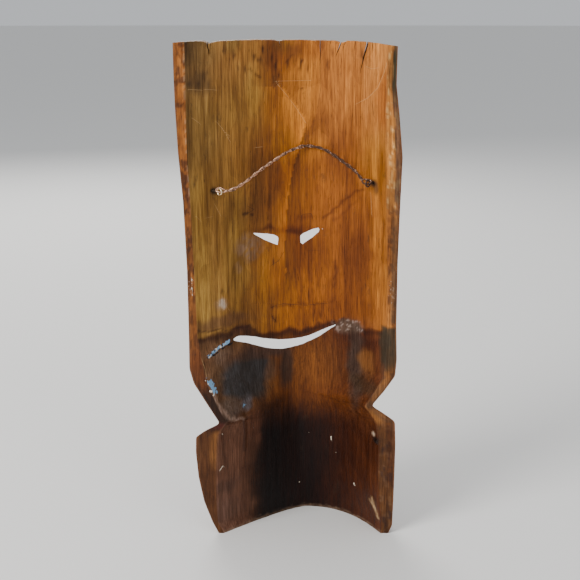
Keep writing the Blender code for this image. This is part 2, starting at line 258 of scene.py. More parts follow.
def nose(x, z):
    top, tip, under = 282.0, 208.0, 192.0
    run = np.where(z > tip, (top - z) / (top - tip), (z - under) / (tip - under))
    run = np.clip(run, 0, 1)
    half = np.where(z > tip, mix(9.0, 21.0, run), 21.0)
    return 31.9 * run ** 0.75 * np.clip(1 - (np.abs(x) / half) ** 1.7, 0, 1)


def mouth_line(x):
    return 176.0 + 0.0045 * (x - 12) ** 2 - 0.05 * x


def carving(x, z):
    """The carved face in front, as in the CAD part."""
    brow = 9.0 * band(z, 296 - 0.0035 * x * x, 15) * band(x, 0, 84)
    sockets = -5.0 * sum(spot(x, z, at, 270, 34, 22) for at in (27, -27))
    cheeks = 7.0 * sum(spot(x, z, at, 216, 38, 40) for at in (50, -50))
    lips = 7.5 * band(z, mouth_line(x), 19) * band(x, 4, 76)
    chin = 11.0 * spot(x, z, 0, 140, 46, 30)
    headband = 6.0 * band(z, 330, 13)
    crown = 5.0 * band(z, 424, 15)
    collar = 6.0 * band(z, 84, 15) + 4.0 * band(z, 22, 18)
    return brow + sockets + cheeks + lips + chin + headband + crown + collar + nose(x, z)


def hollow_depth(x, z, inner_p, inner_m, depth, deepest):
    t = np.clip((z - 100) / 110, 0, 1)
    plus, minus = mix(FOOT_SKEW[0], UPPER_SKEW[0], t), mix(FOOT_SKEW[1], UPPER_SKEW[1], t)
    right = np.clip((x - deepest) / (inner_p - deepest), 0, 1) ** plus
    left = np.clip((deepest - x) / (deepest - inner_m), 0, 1) ** minus
    return depth * (1 - np.where(x >= deepest, right, left))


def outer_depth(x, z, x_p, x_m, depth):
    t = np.clip(np.abs(x - (x_p + x_m) / 2) / ((x_p - x_m) / 2), 0, 1)
    return depth * (1 - t * t) ** 0.62 + carving(x, z) * np.minimum(1.0, 2.2 * (1 - t))


OUTER, INNER, RIM, ENDS = 0, 1, 2, 3


def block_surfaces():
    """The smooth block's outside and its hollow, each as points by (up, around)."""
    rows = soften(sections_at(even_stations(FACES_UP)), 2)
    z_p, x_p, rim_p, z_m, x_m, rim_m, hollow, outside, deepest = (rows[:, k][:, None] for k in range(9))
    turn = np.linspace(0, 1, FACES_AROUND + 1)[None, :]
    near_top = np.clip((z_p - 415.0) / 25.0, 0, 1)

    def height(x):
        t = (x - x_m) / (x_p - x_m)
        return mix(z_m, z_p, t) + TOP_ARCH * near_top * (1 - (2 * t - 1) ** 2)

    x_out = (x_p + x_m) / 2 + np.cos(np.pi * turn) * (x_p - x_m) / 2
    depth = outer_depth(x_out, height(x_out), x_p, x_m, outside)
    fall = NOTCH_FALL * np.minimum(depth, NOTCH_REACH) * band(height(x_out), NOTCH_Z, 42.0)
    out = np.stack([x_out, RIM_Y - depth, height(x_out) - fall], -1)
    in_p, in_m = x_p - rim_p, x_m + rim_m
    even = 0.5 * np.cos(np.pi * turn) + 0.5 * (1 - 2 * turn)
    x_in = (in_p + in_m) / 2 + even * (in_p - in_m) / 2
    depth = hollow_depth(x_in, height(x_in), in_p, in_m, hollow, deepest)
    inner = np.stack([x_in, RIM_Y - depth, height(x_in)], -1)
    return out, inner


def block_mesh():
    """(points in mm, faces, side of each point, how far through from the outside): a closed box-like grid."""
    out, inner = block_surfaces()
    through = np.linspace(0, 1, FACES_THROUGH + 1)
    ids = -np.ones((FACES_AROUND + 1, FACES_THROUGH + 1, FACES_UP + 1), int)
    points, sides, depths = [], [], []

    def place(i, k, l, side):
        ids[i, k, l] = len(points)
        points.append(mix(out[l, i], inner[l, i], through[k]))
        sides.append(side)
        depths.append(through[k])

    for l in range(FACES_UP + 1):
        for i in range(FACES_AROUND + 1):
            whole = l in (0, FACES_UP) or i in (0, FACES_AROUND)
            for k in range(FACES_THROUGH + 1) if whole else (0, FACES_THROUGH):
                edge = RIM if i in (0, FACES_AROUND) else ENDS
                place(i, k, l, {0: OUTER, FACES_THROUGH: INNER}.get(k, edge))
    faces = []

    def quads(grid, flip):
        a, b, c, d = grid[:-1, :-1], grid[1:, :-1], grid[1:, 1:], grid[:-1, 1:]
        order = (a, d, c, b) if flip else (a, b, c, d)
        faces.append(np.stack([v.ravel() for v in order], 1))

    quads(ids[:, 0, :], False)
    quads(ids[:, -1, :], True)
    quads(ids[0, :, :], True)
    quads(ids[-1, :, :], False)
    quads(ids[:, :, 0], True)
    quads(ids[:, :, -1], False)
    return np.array(points), np.concatenate(faces), np.array(sides), np.array(depths)


def make_mesh(name, points, faces):
    mesh = bpy.data.meshes.new(name)
    mesh.from_pydata((points * MM).tolist(), [], faces.tolist())
    mesh.update()
    return mesh


def vertex_array(mesh, what, width):
    found = np.empty(len(mesh.vertices) * width, np.float32)
    mesh.vertices.foreach_get(what, found)
    return found.reshape(-1, width).astype(float)


# ---- carved and worn relief

# Edges that a gouge left in the hollow: points (x, z), and how far the left side stands above the right
GOUGE_EDGES = (
    (((-85, 441), (-81, 429), (-78, 415), (-73, 403), (-63, 394)), 0.5),
    (((16, 405), (6, 405), (-6, 390), (-15, 375), (-13, 364), (-6, 345)), -0.45),
    (((-27, 446), (-28, 399), (-24, 379)), 0.3),
    (((-13, 362), (-6, 341), (0, 314), (2, 295), (4, 264), (3, 234)), -0.55),
    (((22, 209), (6, 206), (-12, 205), (-32, 210)), 0.5),
    (((60, 110), (52, 105), (41, 104)), -1.8),
    (((41, 104), (40, 85), (42, 60)), -0.8),
    (((-20, 120), (-48, 116), (-66, 122)), 0.5),
)
PITS = (                        # small dents: (x, z, half width, half height, depth)
    (-13, 399, 1.6, 1.6, 1.0), (14, 193, 2.0, 3.2, 1.2), (-80, 90, 3.0, 3.5, 2.2), (68, 436, 1.5, 6, 1.5),
    (-78, 29, 2.0, 6, 0.8), (6, 420, 2, 8, 0.6), (-8, 418, 2, 9, 0.6), (1, 146, 2.5, 9, 0.5),
    (-4, 130, 2, 8, 0.5),
)


def hollow_relief(x, z):
    """Height above the smooth hollow: broad scoops of the gouge, their edges, fibres and dents."""
    upper = smoothstep(90, 150, z)
    height = 0.30 * scoops(x + 3 * noise(x / 30, z / 60, 5), z, 20, 95, 11) * mix(0.7, 1.0, upper)
    height += 0.18 * scoops(x, z, 8, 38, 12)
    height += 0.22 * layered(x / 7, z / 45, 3, 22)
    height += 0.55 * layered(x / 38, z / 70, 3, 21)
    height += 0.10 * layered(x / 1.9, z / 17, 3, 31)
    for points, step in GOUGE_EDGES:
        far, side = from_line(x + 1.2 * noise(x / 9, z / 9, 41), z, points)
        height += 0.5 * step * side * np.exp(-far / 9.0)
    height -= 1.5 * line(x, z, ((50, 180), (61, 176.5), (72.5, 171.5)), 1.8)
    for at_x, at_z, half_x, half_z, depth in PITS:
        height -= depth * spot(x, z, at_x, at_z, half_x, half_z)
    torn = smoothstep(418, 440, z + 5 * noise(x / 6, z / 30, 44))
    height += torn * 0.5 * layered(x / 3.0, z / 24, 3, 45)
    return height


def rim_relief(x, y, z):
    """The flat back edges: saw and weather marks, and a rough bark edge high on the -X side."""
    height = 0.35 * layered(x / 5, y / 5, 3, 51, z / 7) + 0.35 * scoops(z, x, 11, 9, 52) - 0.2
    bark = smoothstep(300, 320, z) * (1 - smoothstep(398, 412, z)) * (x < 0)
    rough = 1.5 * layered(x / 4.5, y / 5, 4, 53, z / 16) + 0.8 * layered(x / 1.8, y / 2, 2, 54, z / 9)
    hole = spot(x, z, -78.5, 91, 3.2, 4.0) * 3.0
    return height + bark * (rough - 0.5) - hole


UPPER_LID = ((8, 268), (16, 279), (29, 282), (42, 275))
LOWER_LID = ((8, 264), (17, 259), (30, 261), (42, 273))
STUD_PITCH, RAY_PITCH, PETAL_PITCH, DOT_PITCH = 18, 22, 20, 12
HEADBAND_Z, RAYS_Z = 330, 350
FACE_GROOVES = (                # straight grooves across the front: (z, depth)
    (318.5, 1.2), (341.5, 1.2), (411.0, 1.2), (70.0, 1.0), (99.0, 1.0), (8.0, 1.0),
)


def repeating(x, pitch):
    """x from the middle of the nearest mark of a row."""
    return np.mod(x + pitch / 2, pitch) - pitch / 2


def above_rays(x, z):
    """Height above the outer and the inner zigzag of the rays."""
    point = 1 - np.abs(repeating(x, RAY_PITCH)) / (RAY_PITCH / 2)
    return z - RAYS_Z - 52 * point, z - RAYS_Z - 34 * point


def above_scallops(x, z):
    """Height above the collar's scalloped edge."""
    return z - 70 + 26 * np.sqrt(np.clip(1 - (repeating(x, PETAL_PITCH) / 10.5) ** 2, 0, 1))


def from_cheek(x, z):
    return np.hypot(np.abs(x) - 52, z - 214)


def face_relief(x, z):
    """Fine carving over the plain face: lids, brows, a studded headband, rays and a collar."""
    height = 1.9 * line(np.abs(x), z, UPPER_LID, 2.4) + 1.6 * line(np.abs(x), z, LOWER_LID, 2.2)
    for k in range(3):
        height -= 0.9 * line(np.abs(x), z, ((10, 290 + 4 * k), (36, 297 + 4 * k), (62, 288 + 3 * k)), 1.1)
    height += 1.6 * bell(np.abs(z - mouth_line(x)) - 12, 2.2) * (np.abs(x - 4) < 60)
    height += 3.2 * spot(np.abs(x), z, 15, 206, 9, 11)
    stud = np.hypot(repeating(x, STUD_PITCH), z - HEADBAND_Z) / 6.0
    height += 2.6 * np.sqrt(np.clip(1 - stud ** 2, 0, 1))
    outer, inner = above_rays(x, z)
    rays = smoothstep(344, 350, z) * (1 - smoothstep(402, 408, z))
    height -= rays * (1.3 * bell(outer, 2.0) + 0.8 * bell(inner, 1.6))
    height -= 0.9 * sum(bell(from_cheek(x, z) - radius, 1.2) for radius in (15, 8))
    height -= 1.3 * bell(above_scallops(x, z), 1.5)
    for edge, depth in FACE_GROOVES:
        height -= depth * bell(z - edge, 1.3)
    return height + 0.45 * scoops(x, z, 8, 13, 61) + 0.12 * layered(x / 2, z / 14, 3, 62)


TOP_EDGE = (                    # how far the sawn top edge stands above or below a smooth one: (x, mm)
    (-92, -2.4), (-82, -1.4), (-72, -0.3), (-62, 0.4), (-50, 0.5), (-46, -1.2), (-40, 0.2), (-25, 0.2),
    (-10, 0.5), (5, 0.3), (9, -0.6), (14, 0.5), (30, 0.9), (45, 0.6), (60, 0.6), (68, -1.2), (72, 0.9),
    (82, 1.3), (96, 0.7),
)


def sawn_top(x, z):
    """Rise of the top edge at x, fading out below it."""
    rise = np.interp(x, *zip(*TOP_EDGE)) + 0.15 * layered(x / 3.5, 0.0, 3, 72)
    return rise * smoothstep(425, 442, z)


def relief(points, sides):
    """Height of the worked surface above the smooth block, in mm."""
    x, y, z = points.T
    height = np.zeros(len(points))
    height[sides == INNER] = hollow_relief(x, z)[sides == INNER]
    height[sides == OUTER] = (face_relief(x, z) * smoothstep(0, 12, RIM_Y - y))[sides == OUTER]
    rims = sides == RIM
    height[rims] = rim_relief(x, y, z)[rims]
    ends = sides == ENDS
    height[ends] = (0.5 * layered(x / 4, y / 4, 3, 71, z / 4))[ends] * (z[ends] > 200)
    return height


# ---- cutters

def skin(name, rings, closed=False):
    """Faces between rings of points in mm. The end rings are filled, unless the last one joins the first."""
    bm = bmesh.new()
    loops = [[bm.verts.new(p * MM) for p in ring] for ring in rings]
    pairs = list(zip(loops, loops[1:])) + ([(loops[-1], loops[0])] if closed else [])
    for near, far in pairs:
        for i in range(len(near)):
            j = (i + 1) % len(near)
            bm.faces.new((near[i], near[j], far[j], far[i]))
    if not closed:
        bm.faces.new(loops[0])
        bm.faces.new(loops[-1])
    bmesh.ops.recalc_face_normals(bm, faces=bm.faces[:])
    mesh = bpy.data.meshes.new(name)
    bm.to_mesh(mesh)
    bm.free()
    return mesh


def cutter(name, rings):
    return bpy.data.objects.new(name, skin(name, rings))


def upper_edge(outline, x):
    found = []
    for (xa, za), (xb, zb) in zip(outline, outline[1:] + outline[:1]):
        if min(xa, xb) <= x <= max(xa, xb) and xa != xb:
            found.append(mix(za, zb, (x - xa) / (xb - xa)))
    return max(found)


def hollow_y(x, z):
    """y of the smooth hollow at (x, z)."""
    rows = sections_at(np.linspace(0, len(SECTIONS) - 1, 900))
    t = (x - rows[:, 4]) / (rows[:, 1] - rows[:, 4])
    row = rows[np.argmin(np.abs(mix(rows[:, 3], rows[:, 0], t) - z))]
    depth = hollow_depth(np.array([x]), np.array([z]), row[1] - row[2], row[4] + row[5], row[6], row[8])
    return RIM_Y - float(depth[0])


def slot_cutter(name, outline, curved):
    """A slot with hand-cut edges, cut a little wider and lower towards the face, along a wearer's view."""
    corners = [Vector((x, 0, z)) for x, z in outline]
    if curved:
        ring = smooth_points(corners, 1.3, closed=True)
    else:
        ring = [a.lerp(b, k / 5) for a, b in zip(corners, corners[1:] + corners[:1]) for k in range(5)]
    low_x, high_x = min(x for x, _ in outline), max(x for x, _ in outline)
    rows = []
    for forward in (-9.0, -3.0, 0.0, 4.0, 10.0, 18.0, 30.0, 60.0, 80.0):
        row = []
        for p in ring:
            wobble = 0.16 * float(noise(p.x / 2, p.z / 2, 81))
            low = p.z < upper_edge(outline, min(max(p.x, low_x), high_x)) - 0.5
            deep = max(0.0, forward)
            row.append(Vector((p.x * (1 + SLOT_SPLAY * deep) + wobble, hollow_y(p.x, p.z) - forward,
                               p.z + wobble - SLOT_FALL * deep * low)))
        rows.append(row)
    return cutter(name, rows)


CRACKS = (                      # splits in the top edge: (x, width, lean, how far down)
    (-45.0, 2.3, 0.34, 10.0), (-48.5, 1.0, 0.3, 6.0), (-66.5, 2.4, 0.22, 22.0), (-70.5, 0.9, 0.1, 7.0),
    (69.0, 2.2, 0.15, 7.5), (66.0, 0.8, 0.1, 4.0), (-27.0, 0.7, 0.02, 26.0), (9.0, 0.8, 0.2, 2.5),
    (-57.0, 0.8, 0.2, 5.0), (-36.0, 0.7, 0.2, 4.0),
)


def crack_cutter(index, at, width, lean, down):
    """A thin wedge from above the top edge down into the wood, wandering a little."""
    rows = []
    for k in range(7):
        t = k / 6
        z = 452.0 - (12.0 + down) * t
        half = 0.5 * width * (1 - t) ** 0.7 + 0.05
        x = at + lean * max(0.0, 444.0 - z) * (1 if at < 0 else -1)
        x += 0.35 * float(noise(z / 4, index, 91))
        rows.append([Vector((x - half, RIM_Y + 5, z)), Vector((x + half, RIM_Y + 5, z)),
                     Vector((x + half * 0.6, -RIM_Y, z)), Vector((x - half * 0.6, -RIM_Y, z))])
    return cutter(f"crack_{index}", rows)


def pilot_cutter(name, centre, side):
    """The hole that a screw eye's shank sits in."""
    way = shank_direction(side)
    across = way.cross(Vector((0, 0, 1)))
    rows = []
    for far in (4.0, 8.0, 17.5):
        radius = 1.45 if far < 9 else 1.35
        ring = [math.tau * k / 14 for k in range(14)]
        rows.append([centre - way * far + (across * math.cos(a) + Vector((0, 0, 1)) * math.sin(a)) * radius
                     for a in ring])
    return cutter(name + "_pilot", rows)


def cut_all(obj, tools):
    """The object's mesh with every cutter taken out of it, one after another."""
    scene = bpy.context.scene.collection
    scene.objects.link(obj)
    for tool in tools:
        scene.objects.link(tool)
        modifier = obj.modifiers.new(tool.name, "BOOLEAN")
        modifier.operation = "DIFFERENCE"
        modifier.solver = "EXACT"
        modifier.object = tool
    bpy.context.view_layer.update()
    mesh = bpy.data.meshes.new_from_object(obj.evaluated_get(bpy.context.evaluated_depsgraph_get()))
    obj.modifiers.clear()
    obj.data = mesh
    for tool in tools:
        bpy.data.objects.remove(tool)
    return obj


# ---- stains, paint, and painted light and shade over the surface

def wander(x, z, seed, amount):
    return (x + amount * layered(x / 9, z / 9, 3, seed), z + amount * layered(x / 9, z / 9, 3, seed + 7))


def patch(x, z, at_x, at_z, half_x, half_z, soft=0.3):
    """1 over an ellipse, falling to 0 across its edge."""
    return smoothstep(1 + soft, 1 - soft, np.hypot((x - at_x) / half_x, (z - at_z) / half_z))


def zone(x, z, across, up):
    """1 past every edge. Each edge is where it starts and where it is whole, one pair after another."""
    weight = 1.0
    for value, edges in ((x, across), (z, up)):
        for start, whole in zip(edges[::2], edges[1::2]):
            weight = weight * smoothstep(start, whole, value)
    return weight


class Tone:
    """Linear RGB at each point, built up in coats."""

    def __init__(self, colours):
        self.rgb = colours

    def stain(self, weight, factors):
        """Darkens or lightens what is there."""
        w = np.clip(weight, 0, 1)[:, None]
        self.rgb = self.rgb * (1 + w * (np.array(factors) - 1))

    def tint(self, weight, colour):
        """Covers what is there with a colour."""
        w = np.clip(weight, 0, 1)[:, None]
        self.rgb = mix(self.rgb, np.array(colour), w)

    def stain_patches(self, x, z, rows):
        """Rows of (x, z, half width, half height, softness of the edge, and a factor for each channel)."""
        for *place, red, green, blue in rows:
            self.stain(patch(x, z, *place), (red, green, blue))

    def tint_patches(self, x, z, rows):
        """Rows of (x, z, half width, half height, softness of the edge, share, and the colour)."""
        for *place, share, red, green, blue in rows:
            self.tint(patch(x, z, *place) * share, (red, green, blue))

    def stain_zones(self, x, z, rows):
        """Rows of (edges across, edges upwards, and a factor for each channel)."""
        for across, up, *factors in rows:
            self.stain(zone(x, z, across, up), factors)


ACROSS_HOLLOW = (               # the wood's colour across the hollow: x, linear RGB
    (-93, 0.36, 0.125, 0.016), (-79, 0.34, 0.105, 0.011), (-63, 0.25, 0.069, 0.006),
    (-42, 0.26, 0.070, 0.005), (-19, 0.27, 0.074, 0.004), (4, 0.29, 0.084, 0.004),
    (14, 0.25, 0.078, 0.006), (30, 0.21, 0.077, 0.008), (47, 0.22, 0.092, 0.012),
    (66, 0.25, 0.118, 0.020), (78, 0.26, 0.125, 0.022), (90, 0.20, 0.092, 0.016),
)
MOUTH_STAIN = (                 # the upper edge of the stain through the mouth: (x, z)
    (-92, 198), (-80, 195), (-70, 189), (-60, 193), (-50, 197), (-42, 193), (-30, 188), (-15, 183), (5, 181),
    (18, 179), (27, 182), (34, 186), (42, 190), (52, 188), (85, 187),
)
PALE_MARKS = (                  # scratches in the hollow, each a line of (x, z) points
    ((62, 376), (58, 371), (52, 364)), ((57, 369), (51, 358.5)), ((81.5, 380.5), (75.5, 375.5)),
    ((84, 404.5), (74, 403.5)), ((71, 404), (62, 403)), ((-65.5, 422.5), (-69.5, 420.8), (-74, 421.8)),
    ((12, 409), (-19, 409.5)), ((-70.8, 315), (-71.8, 296.5)), ((64.5, 304.5), (59.8, 294.3)),
    ((80, 296.5), (76, 291.5)), ((72.5, 294), (67.5, 294.5)), ((30, 352), (24, 352.5)),
    ((-81, 426.5), (-79, 418), (-74.5, 405.5), (-67, 396.5), (-57.5, 390.5)),
    ((60, 222), (54, 208)), ((64, 217), (58, 209)), ((78, 170), (75, 160), (73.5, 152)),
    ((11.5, 408), (3, 398), (-6, 386), (-14.5, 373)),
)
DARK_MARKS = (                  # fine dark checks and tool marks in the hollow
    ((-70.5, 391.5), (-72, 381.5)), ((-82, 394), (-81.5, 374)), ((-85, 384), (-84.8, 366)),
    ((-38.5, 330), (-39.5, 321.5)), ((-26.8, 444), (-27.6, 404), (-25, 386)), ((-17, 258.3), (-26.5, 258.6)),
    ((21.7, 251.8), (21.2, 247.5)), ((5, 256.5), (9.5, 248.5), (16, 245)), ((-57.5, 387), (-58.5, 372)),
    ((-10.5, 285.5), (-11.5, 291), (-20, 292), (-21.5, 286)), ((15.6, 196.5), (12.4, 191.3)),
    ((-22, 200), (-22.4, 188)), ((-52, 310), (-52.5, 301)), ((36, 300), (31, 297), (37, 294)),
    ((17, 204.5), (13, 206), (5.5, 207.8), (-4, 206.6), (-15, 206), (-30, 208.5), (-35, 209)),
)
DARK_TICKS = (                  # short dark fibres above the mouth: (x, z, half height)
    (-22, 196, 9), (-29, 197, 8), (-18, 216, 10), (-26, 226, 9), (14, 248, 5), (60, 226, 5),
)
TOP_TICKS = (                   # the same below the top edge
    (31, 430, 8), (24, 427, 9), (15, 429, 7), (1, 424, 9), (-10, 424, 11), (-16, 420, 8), (55, 436, 7),
    (48, 431, 8), (-37, 434, 6), (-62, 432, 9), (38, 420, 6), (9, 414, 5),
)
GASHES = (                      # dark nicks below the top edge, each a line
    ((3, 424), (-2, 431)), ((-9, 419), (-12, 428)), ((30, 431), (27, 427)), ((34, 420), (25, 412)),
    ((11.5, 427), (13.5, 404)), ((23, 438), (22, 433)), ((48, 436), (46, 429)), ((-33, 428), (-34, 415)),
)
PALE_CHIPS = (                  # chips that show pale wood, each a line
    ((63.5, 61.5), (60.6, 65.3), (58.6, 62.5)), ((-39.6, 76.0), (-40.6, 70.5)),
    ((-17.5, 78.6), (-19.6, 77.2)), ((-44.0, 60.8), (-46.0, 59.6)), ((-61.0, 35.5), (-62.2, 32.5)),
)
PALE_FLECKS = (                 # round ones: (x, z, half width)
    (-29.5, 278.5, 1.2), (-62, 188, 1.3), (54, 121, 1.2), (-10, 26.5, 1.5), (60.5, 97, 1.5),
    (-50, 97.5, 1.3), (33.5, 93.5, 1.4), (-59, 226, 1.0),
)
# Edges between the gouge's facets, each lit on its left side and dark on its right
CENTRE_RIDGE = ((-13, 362), (-6, 341), (0, 314), (2, 295), (4, 264), (3, 232))
RIGHT_GOUGE = ((-26.5, 446), (-27.5, 400), (-24, 380), (-14, 360))
TOP_GOUGE = ((16, 405), (6, 405), (-6, 390), (-15, 375), (-13, 364))


def upper_stains_and_facet_shade(tone, x, z, wx, wz):
    """Broad tones of the wood above the mouth, painted light and shade on the facets of the gouge, smudges
    and dark lines.
    """
    stain = tone.stain
    tone.stain_zones(wx, wz, (
        ((20, -16), (335, 400), 1.62, 1.95, 3.4), ((10, 30), (385, 425), 1.25, 1.25, 1.5),
        ((-36, -50), (306, 280, 188, 200), 0.80, 0.76, 0.8),
    ))
    tone.stain_zones(x, z, (
        ((66, 76), (192, 206, 350, 310), 1.32, 1.42, 1.3), ((), (110, 160), 1.03, 1.09, 1.35),
    ))
    tone.stain_patches(wx, wz, (
        (-81, 396, 7, 26, 0.5, 0.74, 0.60, 0.45), (38, 394, 13, 26, 0.6, 1.22, 1.38, 1.6),
        (78, 372, 18, 34, 0.5, 0.76, 0.78, 0.8), (62, 268, 9, 40, 0.6, 1.12, 1.14, 1.1),
        (-64, 262, 7, 34, 0.6, 0.82, 0.78, 0.9), (-20, 356, 12, 16, 0.6, 1.40, 1.50, 1.4),
        (24, 232, 9, 22, 0.6, 1.40, 1.45, 1.2), (46, 262, 10, 50, 0.6, 1.08, 1.24, 1.3),
        (28, 413, 9, 32, 0.6, 1.22, 1.42, 1.5), (-76, 342, 15, 24, 0.6, 1.16, 1.32, 1.2),
        (3, 352, 10, 14, 0.6, 1.16, 1.30, 1.2), (1, 236, 8, 26, 0.6, 0.84, 0.86, 0.9),
        (-80, 262, 7, 40, 0.5, 1.32, 1.45, 1.4), (-16, 436, 12, 9, 0.6, 0.72, 0.64, 0.6),
        (52, 214, 9, 12, 0.5, 1.12, 1.12, 1.1), (22, 322, 13, 38, 0.5, 0.66, 0.62, 0.70),
        (37, 293, 9, 13, 0.6, 0.74, 0.70, 0.72), (4, 278, 34, 3.0, 0.7, 0.74, 0.66, 0.62),
        (-15, 289, 6, 2.5, 0.7, 0.70, 0.62, 0.6), (-6, 262, 10, 32, 0.5, 0.78, 0.70, 0.68),
        (12, 228, 10, 20, 0.5, 0.85, 0.80, 0.75),
    ))
    stain(patch(wx, wz, 47, 440, 6, 7, 0.6) + patch(wx, wz, 6, 440, 8, 7, 0.6), (0.74, 0.84, 0.9))
    streaks = noise(x / 1.7, z / 30, 102)
    stain(smoothstep(0.2, 0.8, streaks) * smoothstep(20, 50, wx), (1.25, 1.28, 1.4))
    stain(smoothstep(0.1, 0.7, -streaks), (0.84, 0.80, 0.75))
    # the gouge's facets: lit on one side of each edge, dark on the other
    for points, lit, dark in ((CENTRE_RIDGE, 1.38, 0.56), (TOP_GOUGE, 1.22, 0.78), (RIGHT_GOUGE, 1.13, 0.84)):
        far, side = from_line(x + 0.8 * noise(x / 5, z / 12, 103), z, points)
        within = smoothstep(points[-1][1] - 14, points[-1][1] + 4, z)
        stain(np.exp(-far / 7) * (side > 0) * within, (lit, lit, lit))
        stain(np.exp(-far / 13) * (side <= 0) * within, (dark, dark * 0.95, dark))
    # small smudges above the eyes, dark fibres and folds
    stain(patch(wx, wz, 38, 296, 2.6, 2.2) + patch(wx, wz, 32.5, 294, 2.2, 1.8), (0.40, 0.36, 0.4))
    stain(patch(wx, wz, 20, 280, 5, 2.2, 0.6) + patch(wx, wz, -6, 275.5, 7, 2.6, 0.6), (0.55, 0.46, 0.5))
    stain(line(wx, z, ((-42, 250), (-41, 224)), 1.5) * (0.6 + 0.6 * noise(x, z / 6, 104)), (0.42, 0.36, 0.4))
    for at_x, at_z, long in DARK_TICKS:
        stain(spot(x, z, at_x, at_z, 1.3, long), (0.35, 0.30, 0.32))
    fold = line(wx, wz, ((17, 204), (7, 208), (-10, 206), (-33, 208)), 1.6)
    stain(fold * (0.5 + 0.5 * noise(x / 5, z / 5, 110)), (0.56, 0.50, 0.54))
    stain(line(x, z, ((15.6, 196.5), (12.4, 191.3)), 1.0) * 0.8, (0.20, 0.16, 0.2))
    # the arc that the hanging wire rubbed
    stain(line(wx, wz, ((-65, 318), (-56, 313), (-48, 304), (-40, 295), (-31, 286)), 1.3), (0.55, 0.48, 0.5))
    stain(line(wx, wz, ((-60, 306), (-50, 295), (-42, 286)), 1.6), (0.74, 0.68, 0.7))


def haze(tone, wx, wz):
    """The haze and rubbed patches of the upper hollow."""
    tint = tone.tint
    swirl = 0.65 + 0.7 * noise(wx / 1.6, wz / 2.4, 105)
    tint(patch(wx, wz, 36, 263, 11, 12, 0.4) * swirl, (0.190, 0.108, 0.060))
    tint(patch(wx, wz, 44, 262, 3.0, 6) * 0.5 + patch(wx, wz, 46, 246, 2.4, 4) * 0.4, (0.32, 0.20, 0.12))
    tint(line(wx, wz, ((61, 218), (57.5, 212)), 1.4) * 0.75, (0.50, 0.42, 0.36))
    tint(patch(wx, wz, 61, 215, 4, 5, 0.6) * 0.30, (0.34, 0.24, 0.17))


def mouth_stains(tone, x, z, wx, wz):
    """The stain line through the mouth, and the darker wood under it."""
    stain, tint = tone.stain, tone.tint
    under = np.interp(wx, *zip(*MOUTH_STAIN)) - wz
    stain(smoothstep(-3, 1, under) * smoothstep(8, 2, under), (0.42, 0.34, 0.36))
    stain(smoothstep(-3, 3, under), (0.44, 0.42, 0.80))
    stain(smoothstep(-26, -50, wx) * smoothstep(4, 12, under) * smoothstep(116, 140, wz), (0.66, 0.60, 0.70))
    tone.tint_patches(wx, wz, (
        (60, 199, 24, 6.0, 0.45, 0.65, 0.105, 0.046, 0.024), (43, 189, 8, 5, 0.5, 0.6, 0.075, 0.026, 0.012),
    ))
    stain(line(x, wz, ((82, 195), (65, 192), (48, 189), (36, 188)), 1.0) * 0.8, (0.30, 0.26, 0.4))
    tint(patch(wx, wz, -72, 196, 9, 5, 0.5) * 0.4, (0.24, 0.080, 0.016))
    stain(patch(wx, wz, -66, 184, 18, 13, 0.6), (0.66, 0.58, 0.7))
    flakes = smoothstep(0.15, 0.5, noise(x / 1.3, z / 1.3, 106) + 0.3 * noise(x / 4, z / 4, 107))
    rubbed = patch(wx, wz, -54, 190, 12.5, 6.5, 0.4)
    tint(rubbed * 0.75, (0.125, 0.078, 0.055))
    tint(rubbed * flakes * 0.6, (0.50, 0.40, 0.36))
    tone.tint_patches(wx, wz, (
        (-60, 152, 6.5, 36, 0.5, 0.80, 0.042, 0.027, 0.020),
        (-68, 140, 13, 7, 0.5, 0.7, 0.05, 0.026, 0.012), (-70, 160, 7, 11, 0.4, 0.5, 0.24, 0.095, 0.022),
    ))
    right_edge = smoothstep(-80, -84, wx) * smoothstep(201, 197, z) * smoothstep(150, 166, wz)
    tint(right_edge * 0.92, (0.032, 0.024, 0.014))
    tint(patch(wx, wz, -28, 148, 22, 22, 0.4) * 0.30, (0.19, 0.062, 0.009))


def jaw_dark_patches(tone, wx, wz):
    """Blue-black patches, and the purple-grey pocket beside the jaw."""
    tone.tint_patches(wx, wz, (
        (38, 144, 24, 19, 0.22, 0.93, 0.025, 0.025, 0.027), (52, 146, 9, 15, 0.4, 0.4, 0.055, 0.050, 0.052),
        (46, 165, 26, 7, 0.5, 0.6, 0.10, 0.045, 0.022), (62, 167, 9, 9, 0.6, 0.5, 0.170, 0.110, 0.078),
        (26, 130, 9, 10, 0.5, 0.75, 0.030, 0.022, 0.018), (22, 163, 20, 6, 0.5, 0.8, 0.045, 0.024, 0.018),
        (55, 118, 12, 12, 0.4, 0.75, 0.084, 0.060, 0.048), (70, 146, 8, 18, 0.5, 0.5, 0.150, 0.095, 0.058),
        (18, 138, 5, 17, 0.5, 0.5, 0.13, 0.048, 0.010), (3, 146, 6, 20, 0.4, 0.85, 0.028, 0.014, 0.009),
        (74, 160, 9, 20, 0.5, 0.5, 0.17, 0.075, 0.030),
    ))


